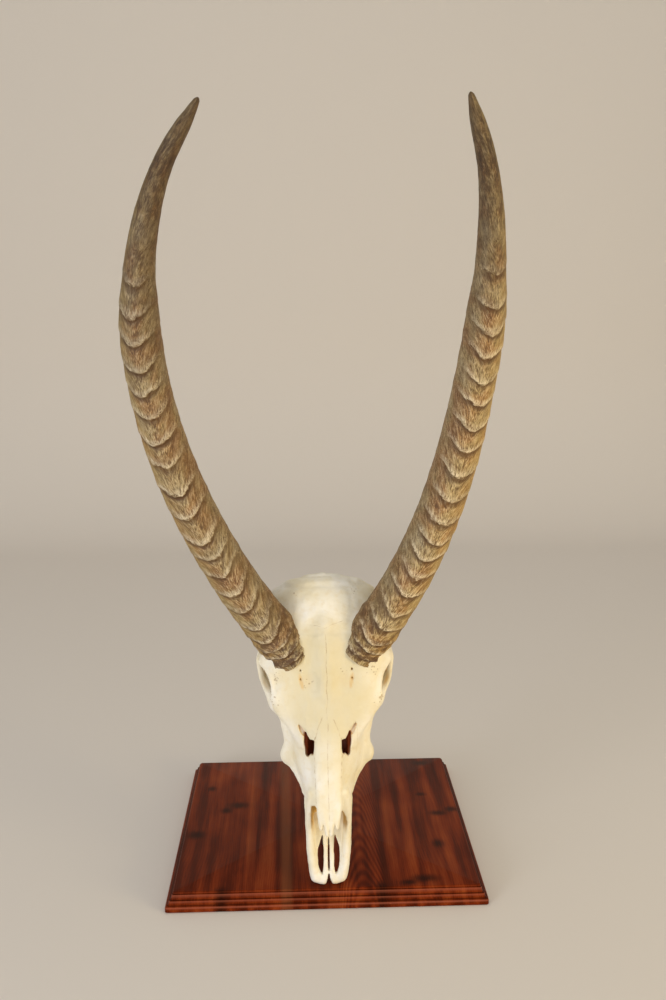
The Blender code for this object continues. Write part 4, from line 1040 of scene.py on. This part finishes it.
enamel, put, shader = new_finish("tooth_enamel")
place = put("TexCoord").outputs["Object"]
in_mm = put("VectorMath", {0: place, "Scale": 1000.0}, "SCALE")
soil_and_painted_shade = put("TexNoise", {"Vector": in_mm, "Scale": 0.22, "Detail": 4.0})
feed(shader, {
    "Base Color": set_stops(put("ValToRGB", (soil_and_painted_shade,)), [
        (0.3, "#8a7048"), (0.45, "#cfc39e"), (0.7, "#e6e2d2")]),
    "Normal": put("Bump", {"Height": soil_and_painted_shade, "Strength": 0.3, "Distance": 0.0005}), "Roughness": 0.32})

for side, side_name in ((1, "left"), (-1, "right")):
    row_y = TOOTH_START_Y
    row_end = TOOTH_START_Y + sum(row[1] + TOOTH_GAP for row in TEETH)
    for tooth, tooth_length, tooth_width in TEETH:
        middle_y = row_y + tooth_length / 2
        part = (middle_y - TOOTH_START_Y) / (row_end - TOOTH_START_Y)
        middle_x = TOOTH_ROW_X[0] + (TOOTH_ROW_X[1] - TOOTH_ROW_X[0]) * part ** 0.7
        root_z = ALVEOLAR_Z - (middle_y - ALVEOLAR_Y[0]) * ALVEOLAR_FALL - TOOTH_ROOT_DEPTH
        lobes = 2 if tooth.startswith("molar") else 1
        rings = []
        for level, scale in CROWN:
            ring = []
            for k in range(TOOTH_SIDES):
                angle = 2 * pi * k / TOOTH_SIDES
                waist = 1 - LOBE_WAIST * (lobes - 1) * (1 - abs(cos(angle))) ** 4
                local_y = cos(angle) * tooth_length / 2 * scale
                local_x = middle_x + sin(angle) * tooth_width / 2 * scale * waist
                height = level * TOOTH_HEIGHT * (1 - CUSP_DIP * abs(cos(angle * lobes)) * (level > 0.8))
                ring.append(Vector((side * local_x, middle_y + local_y,
                                    root_z - local_y * ALVEOLAR_FALL - height)) * MM)
            rings.append(ring)
        crown = loft(rings)
        crown.transform(skull_pose)
        bmesh.ops.recalc_face_normals(crown, faces=crown.faces)
        node = "tooth_" + side_name + "_" + tooth
        piece(node + "_crown", crown, enamel, "teeth", node, sharp=60)
        row_y += tooth_length + TOOTH_GAP


# Studio: a plain pale floor that curves up into the wall, a cool soft light from the left
# and a warm one from the right, as on the bone's two sides.
paper, _, shader = new_finish("pale_paper")
feed(shader, {"Base Color": tint("#e2dbd3"), "Roughness": 0.9})
FLOOR_HALF, FLOOR_FRONT, WALL_Y, WALL_CURVE, WALL_TOP = 3.0, -2.5, 1.6, 0.6, 3.2
sweep = [(FLOOR_FRONT, 0.0)]
sweep += [(WALL_Y + WALL_CURVE * sin(t * pi / 24), WALL_CURVE * (1 - cos(t * pi / 24))) for t in range(13)]
sweep.append((WALL_Y + WALL_CURVE, WALL_TOP))
floor_form = bmesh.new()
columns = [[floor_form.verts.new((x_edge, y_edge, height)) for y_edge, height in sweep]
           for x_edge in (-FLOOR_HALF, FLOOR_HALF)]
for k in range(len(sweep) - 1):
    floor_form.faces.new((columns[0][k], columns[1][k], columns[1][k + 1], columns[0][k + 1]))
floor_mesh = bpy.data.meshes.new("floor")
floor_form.to_mesh(floor_mesh)
floor_form.free()
floor_mesh.shade_smooth()
floor_mesh.materials.append(paper)
floor = bpy.data.objects.new("floor", floor_mesh)
bpy.context.scene.collection.objects.link(floor)
TARGET = Vector((0.0, 0.0, 0.45))
for label, spot, size, power, colour in (
        ("left_light", (-1.6, -1.9, 0.45), 1.0, 26, "#f6f8ff"),
        ("right_light", (1.8, -1.4, 0.4), 0.9, 25, "#ffe7b0"),
        ("top_light", (0.2, -0.6, 2.6), 1.4, 6, "#fffaf0")):
    lamp_data = bpy.data.lights.new(label, "AREA")
    lamp_data.shape = "DISK"
    lamp_data.size = size
    lamp_data.energy = power
    lamp_data.color = tint(colour)[:3]
    lamp = bpy.data.objects.new(label, lamp_data)
    bpy.context.scene.collection.objects.link(lamp)
    lamp.location = spot
    lamp.rotation_mode = "QUATERNION"
    lamp.rotation_quaternion = (TARGET - Vector(spot)).to_track_quat("-Z", "Y")
world = bpy.data.worlds.new("studio")
world.use_nodes = True
world.node_tree.nodes["Background"].inputs["Color"].default_value = tint("#f2efe9")
world.node_tree.nodes["Background"].inputs["Strength"].default_value = 0.55
bpy.context.scene.world = world
bpy.context.scene.view_settings.view_transform = "Standard"
